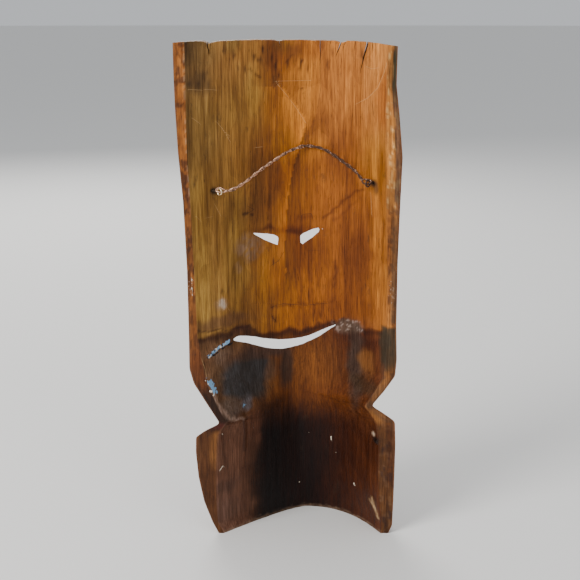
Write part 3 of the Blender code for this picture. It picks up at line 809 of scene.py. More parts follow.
def foot_tones_and_ledge_highlight(tone, x, wx, wz):
    """The foot, nearly black in the middle, with a painted highlight along the jaw's edge and the lip of its
    ledge.
    """
    stain, tint = tone.stain, tone.tint
    tone.stain_zones(wx, wz, (
        ((), (122, 96), 0.54, 0.50, 0.62), ((44, 20, -84, -28), (112, 86), 0.34, 0.26, 0.30),
        ((36, 12, -48, -16), (104, 80), 0.42, 0.30, 0.30), ((40, 20, -8, 8), (126, 112), 0.50, 0.48, 0.60),
        ((-30, -62), (104, 88), 0.92, 0.90, 1.1),
    ))
    tint(smoothstep(30, 44, wx) * smoothstep(112, 102, wz) * 0.85, (0.130, 0.054, 0.030))
    stain(smoothstep(-40, -58, wx) * smoothstep(100, 84, wz), (1.0, 0.92, 0.6))
    tint(line(x, wz, ((42, 105), (41, 92), (42, 74)), 1.2) * 0.7, (0.022, 0.010, 0.008))
    tint(patch(wx, wz, 33, 96, 6.5, 20, 0.5) * 0.6, (0.110, 0.040, 0.020))
    # painted highlight where the jaw's edge and the lip of its ledge catch the light
    ledge_highlight = line(wx, wz, ((68, 138), (63, 126), (57, 114), (50, 106), (43, 104.5)), 1.3)
    tint(ledge_highlight * 0.7, (0.30, 0.20, 0.155))
    tone.tint_patches(wx, wz, (
        (40, 120, 4.5, 7, 0.5, 0.6, 0.075, 0.085, 0.105), (62, 44, 14, 7, 0.6, 0.4, 0.030, 0.018, 0.016),
        (60, 20, 14, 14, 0.6, 0.4, 0.11, 0.060, 0.045),
    ))


def top_stains_and_edge_shade(tone, x, z, wx, wz):
    """The dark upper left corner, painted shade along the hollow's +X edge, and streaks and gashes under the
    top edge.
    """
    stain, tint = tone.stain, tone.tint
    tint(smoothstep(52, 84, wx) * smoothstep(396, 434, wz) * 0.85, (0.070, 0.038, 0.012))
    tint(patch(wx, wz, 76, 411, 10, 8, 0.7) * (0.8 + 0.5 * noise(x / 4, z / 6, 97)), (0.055, 0.030, 0.014))
    # painted shade in a strip along the +X edge of the hollow, next to the rim
    stain(smoothstep(79, 86, x), (0.70, 0.68, 0.70))
    tone.stain_patches(wx, wz, (
        (12, 431, 20, 15, 0.6, 0.66, 0.58, 0.62), (-4, 433, 7, 8, 0.6, 0.62, 0.60, 0.70),
    ))
    for at_x, at_z, long in TOP_TICKS:
        stain(spot(x, z, at_x + 0.09 * (z - at_z), at_z, 1.5, long), (0.30, 0.25, 0.30))
    for points in GASHES:
        gash = line(x + 0.6 * noise(x, z / 3, 96), z, points, 1.15)
        stain(gash * (0.55 + 0.6 * noise(x / 2, z / 3, 95)), (0.26, 0.20, 0.22))
    stain(spot(x, z, -11, 402.5, 2.2, 1.8), (0.16, 0.12, 0.14))


def small_marks(tone, x, z):
    """Halos where the screw eyes go in, a dark spot below the right one, the worn bottom edge with its scar,
    and painted shade and a painted highlight at a pit low on the -X side.
    """
    tint = tone.tint
    for centre, side in EYES.values():
        entry = centre - shank_direction(side) * SHANK_ENTRY
        tint(patch(x, z, entry.x, entry.z - 0.5, 3.0, 3.2, 0.6) * 0.9, (0.016, 0.010, 0.008))
    # a dark spot below where the right screw eye goes in
    tint(patch(x, z, -75, 319, 2.0, 4.5, 0.6) * 0.7, (0.03, 0.014, 0.008))
    # the worn bottom edge and its scar
    tint(smoothstep(3.2, 1.0, z + 1.8 * noise(x / 3, z, 108)) * 0.5, (0.20, 0.13, 0.085))
    for points in (((-76.5, 31), (-79.5, 21), (-82.5, 13)), ((-75, 27), (-79, 21.5))):
        tint(line(x + 0.5 * noise(x, z / 2, 99), z, points, 0.9) * 0.85, (0.48, 0.32, 0.17))
    # painted shade inside the pit low on the -X side, and a painted highlight on its upper lip
    tone.tint_patches(x, z, (
        (-78.5, 91, 2.2, 3.0, 0.5, 0.9, 0.010, 0.006, 0.005),
        (-76.5, 96, 1.3, 2.2, 0.5, 0.8, 0.52, 0.40, 0.30),
    ))


def hollow_tone(x, z):
    """The wood's colour over the hollow, with its stains, dark patches, haze and scratches, and painted light
    and shade in places.
    """
    wx, wz = wander(x, z, 101, 4.0)
    stops, *channels = zip(*ACROSS_HOLLOW)
    tone = Tone(np.stack([np.interp(wx, stops, channel) for channel in channels], 1))
    upper_stains_and_facet_shade(tone, x, z, wx, wz)
    haze(tone, wx, wz)
    mouth_stains(tone, x, z, wx, wz)
    jaw_dark_patches(tone, wx, wz)
    foot_tones_and_ledge_highlight(tone, x, wx, wz)
    top_stains_and_edge_shade(tone, x, z, wx, wz)
    small_marks(tone, x, z)
    return tone.rgb


def rim_tone(x, z, across):
    """The back edges, from their outside (across 0) to the arris of the hollow (across 1)."""
    u = across * 8
    tone = Tone(np.tile((0.30, 0.104, 0.020), (len(x), 1)))
    stain, tint = tone.stain, tone.tint
    mottle = layered(u / 2.2, z / 5, 3, 111)
    stain(smoothstep(-0.1, 0.35, mottle), (1.35, 1.35, 1.2))
    tint(smoothstep(0.0, 0.30, layered(u / 3, z / 7, 3, 112)) * 0.75, (0.075, 0.025, 0.011))
    plus = (x > 0).astype(float)
    chipped = smoothstep(-0.15, 0.15, noise(u / 2, z / 2.5, 116))
    tint(plus * smoothstep(0.84, 0.95, across) * smoothstep(285, 330, z) * chipped * 0.9, (0.72, 0.56, 0.36))
    tint(plus * smoothstep(225, 215, z) * 0.5, (0.15, 0.055, 0.018))
    stain(plus * smoothstep(352, 320, z) * smoothstep(235, 262, z), (0.60, 0.58, 0.7))
    stain(plus * smoothstep(188, 166, z), (0.76, 0.66, 0.8))
    tint(plus * smoothstep(180, 158, z) * 0.7, (0.120, 0.036, 0.009))
    tint(plus * smoothstep(152, 132, z + 5 * mottle) * smoothstep(94, 104, z) * 0.92, (0.020, 0.009, 0.005))
    foot = smoothstep(103, 97, z)
    tint(plus * foot * 0.88, (0.074, 0.027, 0.008))
    inner_foot = plus * foot * smoothstep(0.55, 0.72, across) * smoothstep(56, 76, z + 8 * mottle)
    tint(inner_foot * 0.8, (0.20, 0.080, 0.020))
    tint(plus * smoothstep(101, 104, z) * smoothstep(110, 106, z) * 0.6, (0.10, 0.020, 0.014))
    minus = 1 - plus
    bark = minus * smoothstep(296, 314, z)
    flake = smoothstep(0.10, 0.42, layered(u / 1.6, z / 6, 3, 113))
    inner = smoothstep(0.36, 0.46, across + 0.12 * noise(z / 9, 0.0, 114))
    tint(bark * inner * 0.9, (0.46, 0.190, 0.040))
    tint(bark * inner * flake * 0.7, (0.74, 0.47, 0.20))
    tint(bark * (1 - inner) * 0.85, (0.105, 0.055, 0.032))
    tint(bark * (1 - inner) * flake * 0.5, (0.22, 0.15, 0.075))
    tint(bark * smoothstep(0.1, 0.0, np.abs(across - 0.40)) * 0.5, (0.06, 0.03, 0.016))
    stain(minus * smoothstep(316, 330, z), (1.25, 1.2, 1.1))
    outer_cheek = minus * smoothstep(310, 290, z) * smoothstep(199, 204, z) * smoothstep(0.75, 0.5, across)
    tint(outer_cheek * 0.7, (0.10, 0.050, 0.022))
    tint(minus * smoothstep(200, 196, z) * smoothstep(146, 166, z) * 0.92, (0.034, 0.025, 0.014))
    tint(minus * smoothstep(160, 140, z) * smoothstep(104, 112, z) * 0.7, (0.12, 0.062, 0.030))
    inner_neck = minus * smoothstep(128, 116, z) * smoothstep(104, 112, z) * smoothstep(0.4, 0.8, across)
    tint(inner_neck * 0.6, (0.34, 0.130, 0.022))
    base = minus * smoothstep(112, 104, z)
    tint(base * 0.88, (0.076, 0.030, 0.010))
    tint(base * flake * 0.4, (0.19, 0.10, 0.052))
    tint(base * smoothstep(0.25, 0.5, layered(u / 2, z / 8, 3, 115)) * 0.7, (0.035, 0.016, 0.014))
    stain(base * smoothstep(38, 56, z) * smoothstep(0.6, 0.3, across), (0.80, 0.66, 0.6))
    tint(minus * patch(x, z, -90, 420, 10, 20, 0.5) * (1 - inner * 0.5), (0.040, 0.034, 0.016))
    # painted shade along the outside edge of each rim
    tint(smoothstep(0.20, 0.04, across) * 0.6, (0.045, 0.022, 0.012))
    # painted shade inside the pit in the -X rim, and a painted highlight on its upper lip
    tint(patch(x, z, -78.5, 91, 2.4, 3.2, 0.4) * 0.95, (0.010, 0.006, 0.005))
    tint(patch(x, z, -77, 96.5, 1.3, 2.0, 0.4) * 0.8, (0.52, 0.40, 0.30))
    return tone.rgb


def face_tone(x, z):
    """Stained wood in front, with painted shade darkening the carved lines by their depth."""
    tone = np.empty((len(x), 3))
    tone[:] = (0.235, 0.088, 0.032)
    tone *= (1 + 0.30 * layered(x / 26, z / 40, 3, 121))[:, None]
    tone *= mix(0.62, 1.0, smoothstep(20, 180, z))[:, None]
    # painted shade: the deeper a carved line goes, the darker it is made
    carved_shade = np.clip(-face_relief(x, z) / 1.2, 0, 1)[:, None]
    return np.maximum(tone * (1 - 0.6 * carved_shade), 0.002)


def jaw_paint(x, z):
    """A light blue smear down the arris of the jaw, with white along its lower side."""
    along, across = 0.9 * (142.5 - z) + 0.43 * (69 - x), 0.9 * (x - 69) - 0.43 * (z - 142.5)
    ragged = 0.8 * noise(x / 1.2, z / 1.9, 133)
    blue = 1.05 - (along / 12) ** 2 - (across / 2.9) ** 2 + ragged
    white = 0.95 - ((along - 1) / 11) ** 2 - ((across - 2.3) / 1.5) ** 2 + ragged
    return np.clip(blue, 0, 1), np.clip(white, 0, 1)


def hollow_paint(x, z):
    """Blue, white and black paint in the hollow: in the blind end of the mouth, on the jaw, and in flecks."""
    wx, wz = wander(x, z, 131, 1.2)
    paint = np.zeros((len(x), 4))
    groove = ((51, 180.5), (61, 176.5), (72.5, 170.5))
    spread = line(wx, wz, groove, 2.5)
    speckle = noise(x / 1.2, z / 1.2, 132)
    jaw_blue, jaw_white = jaw_paint(x, z)
    paint[:, 0] = 0.88 * spread * smoothstep(49, 54, wx) * (speckle > -0.25) + jaw_blue
    paint[:, 0] += 0.60 * spot(wx, wz, 41, 119, 5, 8) + 0.5 * spot(wx, wz, 48, 122, 4, 3)
    paint[:, 1] = 0.78 * spread * smoothstep(53, 57, wx) * (speckle > 0.2) + jaw_white
    for points in PALE_CHIPS:
        paint[:, 1] += 0.85 * line(x, z, points, 0.85)
    for at_x, at_z, size in PALE_FLECKS:
        paint[:, 1] += 0.85 * spot(x, z, at_x, at_z, size, size * 1.5)
    under_groove = line(x, z, ((51, 177.5), (60, 173.8), (71, 167.8)), 1.1)
    paint[:, 2] = 0.95 * spread * (speckle < -0.12) + 0.95 * under_groove * (speckle < 0.35)
    return paint


def rim_paint(x, z, across):
    """White flecks along the worn edges, and blue on the jaw."""
    paint = np.zeros((len(x), 4))
    paint[:, 1] = 0.31 + 0.17 * band(z, 234, 28)
    paint[:, 1] -= 0.1 * smoothstep(210, 190, z) + 0.06 * smoothstep(262, 300, z)
    jaw_blue, jaw_white = jaw_paint(x, z)
    paint[:, 0] = jaw_blue * (x > 0) * smoothstep(0.55, 0.75, across)
    paint[:, 1] = np.maximum(paint[:, 1], jaw_white * (x > 0) * smoothstep(0.55, 0.75, across))
    return paint


def face_paint(x, z):
    """Old house paint on the headband, lips, collar, studs, lids, brows and cheeks."""
    paint = np.zeros((len(x), 4))

    def edge(inside, soft=1.6):
        """0.5 at the edge of a painted shape; inside is the distance inwards in mm."""
        return smoothstep(-soft, soft, inside)

    lip = np.abs(z - mouth_line(x))
    mouth_end = 60 - np.abs(x - 4)
    fullness = np.sqrt(np.clip(1 - ((x - 4) / 62) ** 4, 0, 1))
    collar = np.minimum((above_scallops(x, z) - 2) / 1.8, 69 - z)
    outer, inner = above_rays(x, z)
    lids = np.minimum(from_line(np.abs(x), z, UPPER_LID)[0], from_line(np.abs(x), z, LOWER_LID)[0])
    brow = from_line(np.abs(x), z, ((10, 294), (36, 301), (62, 291)))[0]
    flame = np.minimum((inner - 1) / 3.2, (-0.5 - outer) / 4.8)
    blue = (
        edge(np.minimum(13.5 * fullness - lip, mouth_end)),
        edge(11 - np.abs(z - HEADBAND_Z)),
        edge(collar),
    )
    white = (
        edge(6.3 - np.hypot(repeating(x, STUD_PITCH), z - HEADBAND_Z)),
        edge(2.6 - lids),
        edge(np.minimum(6.5 * fullness - lip, mouth_end - 5)),
        edge(np.minimum(-inner / 3.2, z - 346)) * 0.9,
        edge(2.2 - np.hypot(repeating(x, DOT_PITCH), z - 91)),
    )
    black = (edge(6.0 - brow), edge(1.6 - np.abs(lip - 14 * fullness)) * (mouth_end > 0))
    red = (
        edge(15 - from_cheek(x, z)),
        edge(flame, 0.9) * (z > 352) * (z < 408),
        edge(6 - np.abs(z - 424)),
    )
    for channel, shapes in enumerate((blue, white, black, red)):
        paint[:, channel] = np.maximum.reduce(shapes)
    return paint


def marks_at(x, z, lines):
    """(signed distance in mm from the nearest of the lines, 1 close to it)."""
    near, signed = np.full(len(x), 9.0), np.full(len(x), 9.0)
    for points in lines:
        far, side = from_line(x, z, points)
        closer = far < near
        near[closer], signed[closer] = far[closer], (far * side)[closer]
    return signed, smoothstep(1.9, 1.2, near)


def store(mesh, name, kind, what, values):
    found = mesh.attributes.new(name, kind, "POINT")
    found.data.foreach_set(what, values.astype(np.float32).ravel())


def colour_attributes(mesh, points, sides, through):
    """Writes the wood's tone and the paint's weights on the mesh's points."""
    x, y, z = points.T
    tone = np.empty((len(points), 3))
    paint = np.zeros((len(points), 4))
    for side, tone_of, paint_of in ((OUTER, face_tone, face_paint), (INNER, hollow_tone, hollow_paint)):
        mine = sides == side
        tone[mine] = tone_of(x[mine], z[mine])
        paint[mine] = paint_of(x[mine], z[mine])
    paint[sides == OUTER] *= smoothstep(5, 13, RIM_Y - y[sides == OUTER])[:, None]
    rims = sides == RIM
    tone[rims] = rim_tone(x[rims], z[rims], through[rims])
    paint[rims] = rim_paint(x[rims], z[rims], through[rims])
    ends = sides == ENDS
    tone[ends] = (0.30, 0.17, 0.070)
    tone[ends & (z < 100)] = (0.14, 0.06, 0.025)
    store(mesh, "tone", "FLOAT_COLOR", "color", np.concatenate([tone, np.ones((len(tone), 1))], 1))
    store(mesh, "paint", "FLOAT_COLOR", "color", np.clip(paint, 0, 1))
    inner = (sides == INNER).astype(float)
    for name, lines in (("pale_marks", PALE_MARKS), ("dark_marks", DARK_MARKS)):
        signed, close = marks_at(x, z, lines)
        store(mesh, name, "FLOAT_VECTOR", "vector", np.stack([signed, close * inner, inner], 1))


# ---- materials

def put(tree, kind, inputs, **settings):
    """Adds a node. Each input is a value, or another node's output."""
    node = tree.nodes.new("ShaderNode" + kind)
    for name, value in settings.items():
        setattr(node, name, value)
    for name, value in inputs.items():
        socket = node.inputs[name]
        if isinstance(value, bpy.types.NodeSocket):
            tree.links.new(value, socket)
        else:
            socket.default_value = value
    return node


def attribute(tree, name):
    return put(tree, "Attribute", {}, attribute_name=name)


def maths(tree, operation, a, b=0.0):
    return put(tree, "Math", {0: a, 1: b}, operation=operation).outputs[0]


def add(tree, a, b):
    return maths(tree, "ADD", a, b)


def less(tree, a, b):
    return maths(tree, "SUBTRACT", a, b)


def times(tree, a, b):
    return maths(tree, "MULTIPLY", a, b)


def blended(tree, factor, a, b, kind="MIX"):
    """Mix of two colours."""
    return put(tree, "Mix", {0: factor, 6: a, 7: b}, data_type="RGBA", blend_type=kind).outputs[2]


def ramp(tree, value, low, high, out_low=0.0, out_high=1.0):
    return put(tree, "MapRange", {0: value, 1: low, 2: high, 3: out_low, 4: out_high}, clamp=True).outputs[0]


def stretched_noise(tree, place, scale, detail=3.0, roughness=0.55, distortion=0.0):
    """Noise at a scale of its own along each axis, in features a metre."""
    spread = put(tree, "Mapping", {"Vector": place, "Scale": scale}).outputs[0]
    node = put(tree, "TexNoise", {"Vector": spread, "Scale": 1.0, "Detail": detail, "Roughness": roughness,
                                  "Distortion": distortion})
    return node.outputs["Fac"]


def new_material(name):
    material = bpy.data.materials.new(name)
    material.use_nodes = True
    tree = material.node_tree
    return material, tree, tree.nodes["Principled BSDF"]


def growth_rings(tree, place):
    """The log's growth rings, about an upright pith behind the hollow, waved along the grain."""
    wave = stretched_noise(tree, place, (9, 9, 3.2), 3.0)
    split = put(tree, "SeparateXYZ", {0: place}).outputs
    x = add(tree, split[0], 0.012)
    y = add(tree, split[1], -0.095)
    radius = maths(tree, "SQRT", add(tree, times(tree, x, x), times(tree, y, y)))
    bent = add(tree, radius, times(tree, wave, 0.034))
    phase = maths(tree, "FRACT", times(tree, bent, 230.0))
    return maths(tree, "POWER", phase, 2.2)


PAINTS = (                      # which channel, colour, how much is worn off
    ("Alpha", (0.33, 0.045, 0.030, 1), 0.30), ("Blue", (0.012, 0.012, 0.014, 1), 0.24),
    ("Red", (0.20, 0.38, 0.58, 1), 0.16), ("Green", (0.78, 0.68, 0.54, 1), 0.20),
)


def wood_material():
    """Hand-carved wood with growth rings, fibres and pores, stained, with old paint left in places."""
    material, tree, shader = new_material("carved_wood")
    place = put(tree, "TexCoord", {}).outputs["Object"]
    tone = attribute(tree, "tone").outputs["Color"]
    fibre = stretched_noise(tree, place, (1100, 1100, 34), 4.0, 0.6)
    streak = stretched_noise(tree, place, (260, 260, 11), 3.0, 0.6, 0.4)
    cloud = stretched_noise(tree, place, (34, 34, 15), 4.0, 0.6, 0.6)
    pores = stretched_noise(tree, place, (2100, 2100, 130), 1.0, 0.5)
    rings = growth_rings(tree, place)
    colour = tone
    for value, low, high, dark, light in (
        (fibre, 0.34, 0.66, (0.64, 0.58, 0.50, 1), (1.30, 1.34, 1.38, 1)),
        (streak, 0.34, 0.66, (0.76, 0.71, 0.64, 1), (1.20, 1.23, 1.28, 1)),
        (cloud, 0.30, 0.70, (0.72, 0.66, 0.60, 1), (1.26, 1.30, 1.34, 1)),
        (rings, 0.0, 1.0, (1.04, 1.04, 1.04, 1), (0.88, 0.85, 0.82, 1)),
        (pores, 0.66, 0.74, (1.0, 1.0, 1.0, 1), (0.50, 0.45, 0.42, 1)),
    ):
        shade = blended(tree, ramp(tree, value, low, high), dark, light)
        colour = blended(tree, 1.0, colour, shade, "MULTIPLY")
    dirt = ramp(tree, stretched_noise(tree, place, (120, 120, 60), 5.0, 0.7), 0.60, 0.72)
    colour = blended(tree, times(tree, dirt, 0.45), colour, (0.03, 0.016, 0.008, 1))
    speck = stretched_noise(tree, place, (950, 950, 420), 2.0, 0.7)
    for name, mark, width, share in (("dark_marks", (0.030, 0.012, 0.005, 1), 0.40, 0.85),
                                     ("pale_marks", (0.60, 0.38, 0.17, 1), 0.32, 0.75)):
        values = put(tree, "SeparateXYZ", {0: attribute(tree, name).outputs["Vector"]}).outputs
        far = add(tree, maths(tree, "ABSOLUTE", values[0]), times(tree, speck, 0.25))
        drawn = times(tree, ramp(tree, far, width, width - 0.22), values[1])
        drawn = times(tree, drawn, ramp(tree, cloud, 0.30, 0.50, share * 0.35, share))
        colour = blended(tree, drawn, colour, mark)
    layers = attribute(tree, "paint")
    channels = put(tree, "SeparateColor", {0: layers.outputs["Color"]}).outputs
    weights = {name: channels[name] for name in ("Red", "Green", "Blue")}
    weights["Alpha"] = layers.outputs["Alpha"]
    ragged = add(tree, times(tree, speck, 0.55), times(tree, fibre, 0.45))
    worn = stretched_noise(tree, place, (60, 60, 40), 5.0, 0.7)
    coated = 0.0
    for channel, paint, loss in PAINTS:
        kept = add(tree, weights[channel], times(tree, less(tree, ragged, 0.5), 0.9))
        kept = less(tree, kept, times(tree, ramp(tree, worn, 0.42, 0.72), loss * 2))
        mask = ramp(tree, kept, 0.50, 0.56)
        faded = blended(tree, ramp(tree, cloud, 0.3, 0.7), tuple(c * 0.78 for c in paint[:3]) + (1,), paint)
        colour = blended(tree, mask, colour, faded)
        coated = maths(tree, "MAXIMUM", coated, mask)
    tree.links.new(colour, shader.inputs["Base Color"])
    gloss = ramp(tree, streak, 0.3, 0.7, 0.40, 0.62)
    rough = put(tree, "Mix", {0: coated, 2: gloss, 3: 0.68}, data_type="FLOAT").outputs[0]
    tree.links.new(rough, shader.inputs["Roughness"])
    shader.inputs["Specular IOR Level"].default_value = 0.18
    height = add(tree, times(tree, fibre, 0.5), times(tree, streak, 0.7))
    height = less(tree, height, times(tree, ramp(tree, pores, 0.62, 0.75), 0.5))
    height = add(tree, height, times(tree, coated, 0.35))
    height = less(tree, height, times(tree, rings, 0.12))
    bump = put(tree, "Bump", {"Strength": 0.75, "Distance": 0.0005, "Height": height})
    tree.links.new(bump.outputs[0], shader.inputs["Normal"])
    return material


def metal_material(name, clean, rust, share, roughness):
    """Thin wire with a clean metal colour and rust over a share of it."""
    material, tree, shader = new_material(name)
    place = put(tree, "TexCoord", {}).outputs["Object"]
    patch = stretched_noise(tree, place, (420, 420, 420), 4.0, 0.65)
    grit = stretched_noise(tree, place, (3200, 3200, 3200), 2.0, 0.6)
    age = attribute(tree, "age").outputs["Fac"]
    spread = add(tree, add(tree, patch, times(tree, grit, 0.25)), age)
    rusty = ramp(tree, spread, 0.78 - share * 0.4, 0.90 - share * 0.4)
    deep = blended(tree, grit, tuple(c * 0.45 for c in rust) + (1,), (*rust, 1))
    tree.links.new(blended(tree, rusty, (*clean, 1), deep), shader.inputs["Base Color"])
    tree.links.new(ramp(tree, rusty, 0, 1, 0.92, 0.12), shader.inputs["Metallic"])
    tree.links.new(ramp(tree, rusty, 0, 1, roughness, 0.82), shader.inputs["Roughness"])
    bump = put(tree, "Bump", {"Strength": 0.6, "Distance": 0.00012, "Height": grit})
    tree.links.new(bump.outputs[0], shader.inputs["Normal"])
    return material


# ---- pieces

def set_age(mesh, age_at):
    """How much older than the rest each point of a wire looks, from its place in mm."""
    ages = mesh.attributes.new("age", "FLOAT", "POINT")
    ages.data.foreach_set("value", [age_at(v.co / MM) for v in mesh.vertices])


def shank_direction(side):
    return Vector((-0.74 * side, 0.673, 0.0)).normalized()


def tube_mesh(name, points, radii, sides, closed=False):
    """A round tube through the points, one radius each, with flat ends unless it is closed."""
    count = len(points)
    rings = []
    before = points[-1] if closed else points[0]
    tangent = (points[1] - before).normalized()
    normal = tangent.orthogonal().normalized()
    for i, point in enumerate(points):
        ahead = points[(i + 1) % count] if closed or i + 1 < count else point
        behind = points[i - 1] if closed or i else point
        turned = (ahead - behind).normalized()
        normal = (normal - turned * normal.dot(turned)).normalized()
        across = turned.cross(normal)
        rings.append((point, normal.copy(), across, radii[i]))
    if closed:          # share out the twist that the frame picks up on its way round
        first, last = rings[0], rings[-1]
        drift = math.atan2(first[1].dot(last[2]), first[1].dot(last[1]))
        rings = [(p, n * math.cos(drift * i / count) + a * math.sin(drift * i / count),
                  a * math.cos(drift * i / count) - n * math.sin(drift * i / count), r)
                 for i, (p, n, a, r) in enumerate(rings)]
    turns = [math.tau * k / sides for k in range(sides)]
    loops = [[p + (n * math.cos(t) + a * math.sin(t)) * r for t in turns] for p, n, a, r in rings]
    mesh = skin(name, loops, closed)
    mesh.shade_smooth()
    return mesh


def show(name, mesh, material, body, replaced):
    obj = bpy.data.objects.new(name, mesh)
    bpy.context.scene.collection.objects.link(obj)
    mesh.materials.clear()
    mesh.materials.append(material)
    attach(obj, body)
    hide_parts(replaced)
    return obj


def carved_shell():
    """The wooden block, finely carved, slotted and split."""
    points, faces, sides, through = block_mesh()
    smooth_block = make_mesh("smooth", points, faces)
    points = points + vertex_array(smooth_block, "normal", 3) * relief(points, sides)[:, None]
    points[:, 2] += sawn_top(points[:, 0], points[:, 2])
    points[:, 1] = np.minimum(points[:, 1], RIM_Y + 0.6)
    points[:, 2] = np.maximum(points[:, 2], 0.0)
    bpy.data.meshes.remove(smooth_block)
    mesh = make_mesh("carved_shell", points, faces)
    tools = [slot_cutter("eye_left", EYE_LEFT, False), slot_cutter("eye_right", EYE_RIGHT, False),
             slot_cutter("mouth", MOUTH, True)]
    tools += [crack_cutter(i, *crack) for i, crack in enumerate(CRACKS)]
    tools += [pilot_cutter(name, centre, side) for name, (centre, side) in EYES.items()]
    block = cut_all(bpy.data.objects.new("carved_shell", mesh), tools)
    cut_points = vertex_array(block.data, "co", 3) / MM
    tree = kdtree.KDTree(len(points))
    for i, point in enumerate(points):
        tree.insert(point, i)
    tree.balance()
    nearest = np.array([tree.find(p)[1] for p in cut_points])
    colour_attributes(block.data, cut_points, sides[nearest], through[nearest])
    block.data.shade_smooth()
    block.data.set_sharp_from_angle(angle=math.radians(48))
    mesh = block.data
    bpy.data.objects.remove(block)
    show("carved_shell", mesh, wood_material(), "mask", "mask_shell")


def screw_eye(name, material):
    """One piece of wire: a shank that leaves the wood and closes into a ring."""
    centre, side = EYES[name]
    up, out = Vector((0, 0, 1)), shank_direction(side)
    route, radii = [], []
    for far in (-17.0, -16.0, -12.0, -9.0, -6.5, -4.6):
        route.append(centre + out * far)
        radii.append(SHANK_R if far > -16.5 else 0.35)
    for k in range(RING_STEPS + 1):
        a = RING_START + RING_SWEEP * k / RING_STEPS
        route.append(centre + (out * math.sin(a) + up * math.cos(a)) * RING_R)
        radii.append(EYE_WIRE_R)
    smoothed = smooth_points(route[:8], 0.5) + route[8:]
    sizes = np.interp(np.linspace(0, 1, len(smoothed)), np.linspace(0, 1, len(radii)), radii)
    mesh = tube_mesh(name + "_ring", smoothed, list(sizes), 14)
    set_age(mesh, lambda p: 0.45 if (p - centre).length > RING_R + 1.2 else 0.0)
    show(name + "_ring", mesh, material, "mask", name)


def wire_plane():
    left, right = EYES["screw_eye_left"][0], EYES["screw_eye_right"][0]
    along = (right - left).normalized()
    up = Vector((0, 0, 1))
    up = (up - along * up.dot(along)).normalized()
    inward = along.cross(up)
    if inward.y > 0:
        inward = -inward
    return left, along, up * math.cos(WIRE_LEAN) + inward * math.sin(WIRE_LEAN), (right - left).length


def wound_strands(points):
    """Two strands wound round each other along the points."""
    strands = ([], [])
    run = 0.0
    tangent = (points[1] - points[0]).normalized()
    normal = tangent.orthogonal().normalized()
    length = sum((b - a).length for a, b in zip(points, points[1:]))
    turns = 2 * math.pi * round(length / TWIST_PITCH) / length
    for i, point in enumerate(points):
        if i:
            run += (point - points[i - 1]).length
        ahead = points[min(i + 1, len(points) - 1)] - points[max(i - 1, 0)]
        tangent = ahead.normalized()
        normal = (normal - tangent * normal.dot(tangent)).normalized()
        across = tangent.cross(normal)
        loose = 1 + 0.22 * math.sin(run * 0.21) * math.sin(run * 0.047 + 1)
        for strand, start in zip(strands, (0, math.pi)):
            a = turns * run + start
            strand.append(point + (normal * math.cos(a) + across * math.sin(a)) * STRAND_OFF * loose)
    return strands


def ring_turn(centre, along, out, lift):
    """The wire's way through a ring and back outside it; lift is how high the twisted part starts."""
    turn = ((1.8, -0.4), (-1.2, -0.1), (-2.7, 0.9), (-3.0, 2.4), (-2.0, 3.8), (0.4, 4.4))
    places = ((4.2, lift - 1.1), *turn, (3.0, lift + 2.4))
    return [centre + along * a + out * e for a, e in places]


def hanging_wire(material):
    """One soft wire, through both rings and twisted on itself all the way."""
    left, along, out, span = wire_plane()
    right = left + along * span
    route = [left + along * (span * t) + out * rise for t, rise in WIRE_ROUTE]
    centre_line = smooth_points(route, 0.6)
    first, second = wound_strands(centre_line)
    near, far = ring_turn(left, along, out, 0.6), ring_turn(right, -along, out, 2.4)
    if (first[0] - near[0]).length > (second[0] - near[0]).length:
        first, second = second, first
    if (first[-1] - far[0]).length > (first[-1] - far[-1]).length:
        far.reverse()
    ends = smooth_points([first[-1], *far, second[-1]], 0.6)[1:-1]
    starts = smooth_points([second[0], *reversed(near), first[0]], 0.6)[1:-1]
    loop = first + ends + second[::-1] + starts
    mesh = tube_mesh("twisted_wire", loop, [STRAND_R] * len(loop), 10, closed=True)
    set_age(mesh, lambda p: 0.17 * min(1.0, max(0.0, (20 - p.x) / 50)))
    piece = show("twisted_wire", mesh, material, "wire", "hanging_wire")


# ---- studio

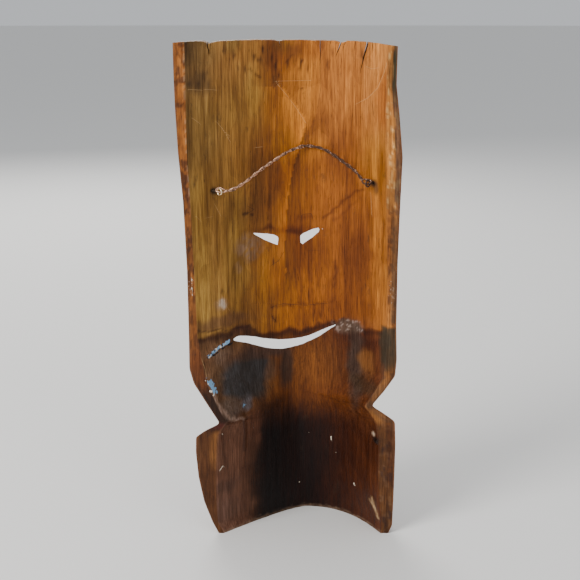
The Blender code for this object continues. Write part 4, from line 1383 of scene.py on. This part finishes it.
def area_light(name, place, aim, size, power, colour):
    data = bpy.data.lights.new(name, "AREA")
    data.shape = "DISK"
    data.size = size
    data.energy = power
    data.color = colour
    light = bpy.data.objects.new(name, data)
    light.location = place
    light.rotation_euler = (Vector(aim) - Vector(place)).to_track_quat("-Z", "Y").to_euler()
    bpy.context.scene.collection.objects.link(light)


def studio():
    bpy.ops.mesh.primitive_circle_add(vertices=64, radius=40.0, fill_type="NGON")
    floor = bpy.context.active_object
    floor.name = "floor"
    material, _, shader = new_material("floor")
    shader.inputs["Base Color"].default_value = (0.80, 0.79, 0.77, 1)
    shader.inputs["Roughness"].default_value = 0.85
    floor.data.materials.append(material)
    world = bpy.data.worlds.new("studio")
    world.use_nodes = True
    world.node_tree.nodes["Background"].inputs[0].default_value = (0.93, 0.96, 1.0, 1)
    world.node_tree.nodes["Background"].inputs[1].default_value = 0.62
    bpy.context.scene.world = world
    area_light("key", (1.5, 1.3, 1.6), (0, 0, 0.25), 1.1, 52, (1.0, 0.985, 0.96))
    area_light("fill", (-1.3, 1.9, 1.2), (0, 0, 0.2), 1.6, 10, (1.0, 0.98, 0.95))
    area_light("front", (0.6, -1.9, 1.5), (0, 0, 0.2), 1.4, 34, (1.0, 0.985, 0.96))


def camera():
    data = bpy.data.cameras.new("camera")
    data.lens = CAMERA_LENS
    data.sensor_width = SENSOR
    obj = bpy.data.objects.new("camera", data)
    obj.location = (CAMERA_X * MM, (RIM_Y + CAMERA_BACK) * MM, CAMERA_HEIGHT * MM)
    obj.rotation_euler = (math.pi / 2 - CAMERA_PITCH, 0, math.pi)
    bpy.context.scene.collection.objects.link(obj)
    bpy.context.scene.camera = obj


camera()
iron = metal_material("hanger_iron", (0.72, 0.44, 0.30), (0.085, 0.036, 0.017), 0.42, 0.34)
brass = metal_material("eye_brass", (0.84, 0.70, 0.45), (0.055, 0.030, 0.014), 0.12, 0.30)
rust = metal_material("eye_rust", (0.30, 0.19, 0.13), (0.055, 0.024, 0.013), 0.75, 0.45)
hanging_wire(iron)
carved_shell()
screw_eye("screw_eye_left", brass)
screw_eye("screw_eye_right", rust)
studio()
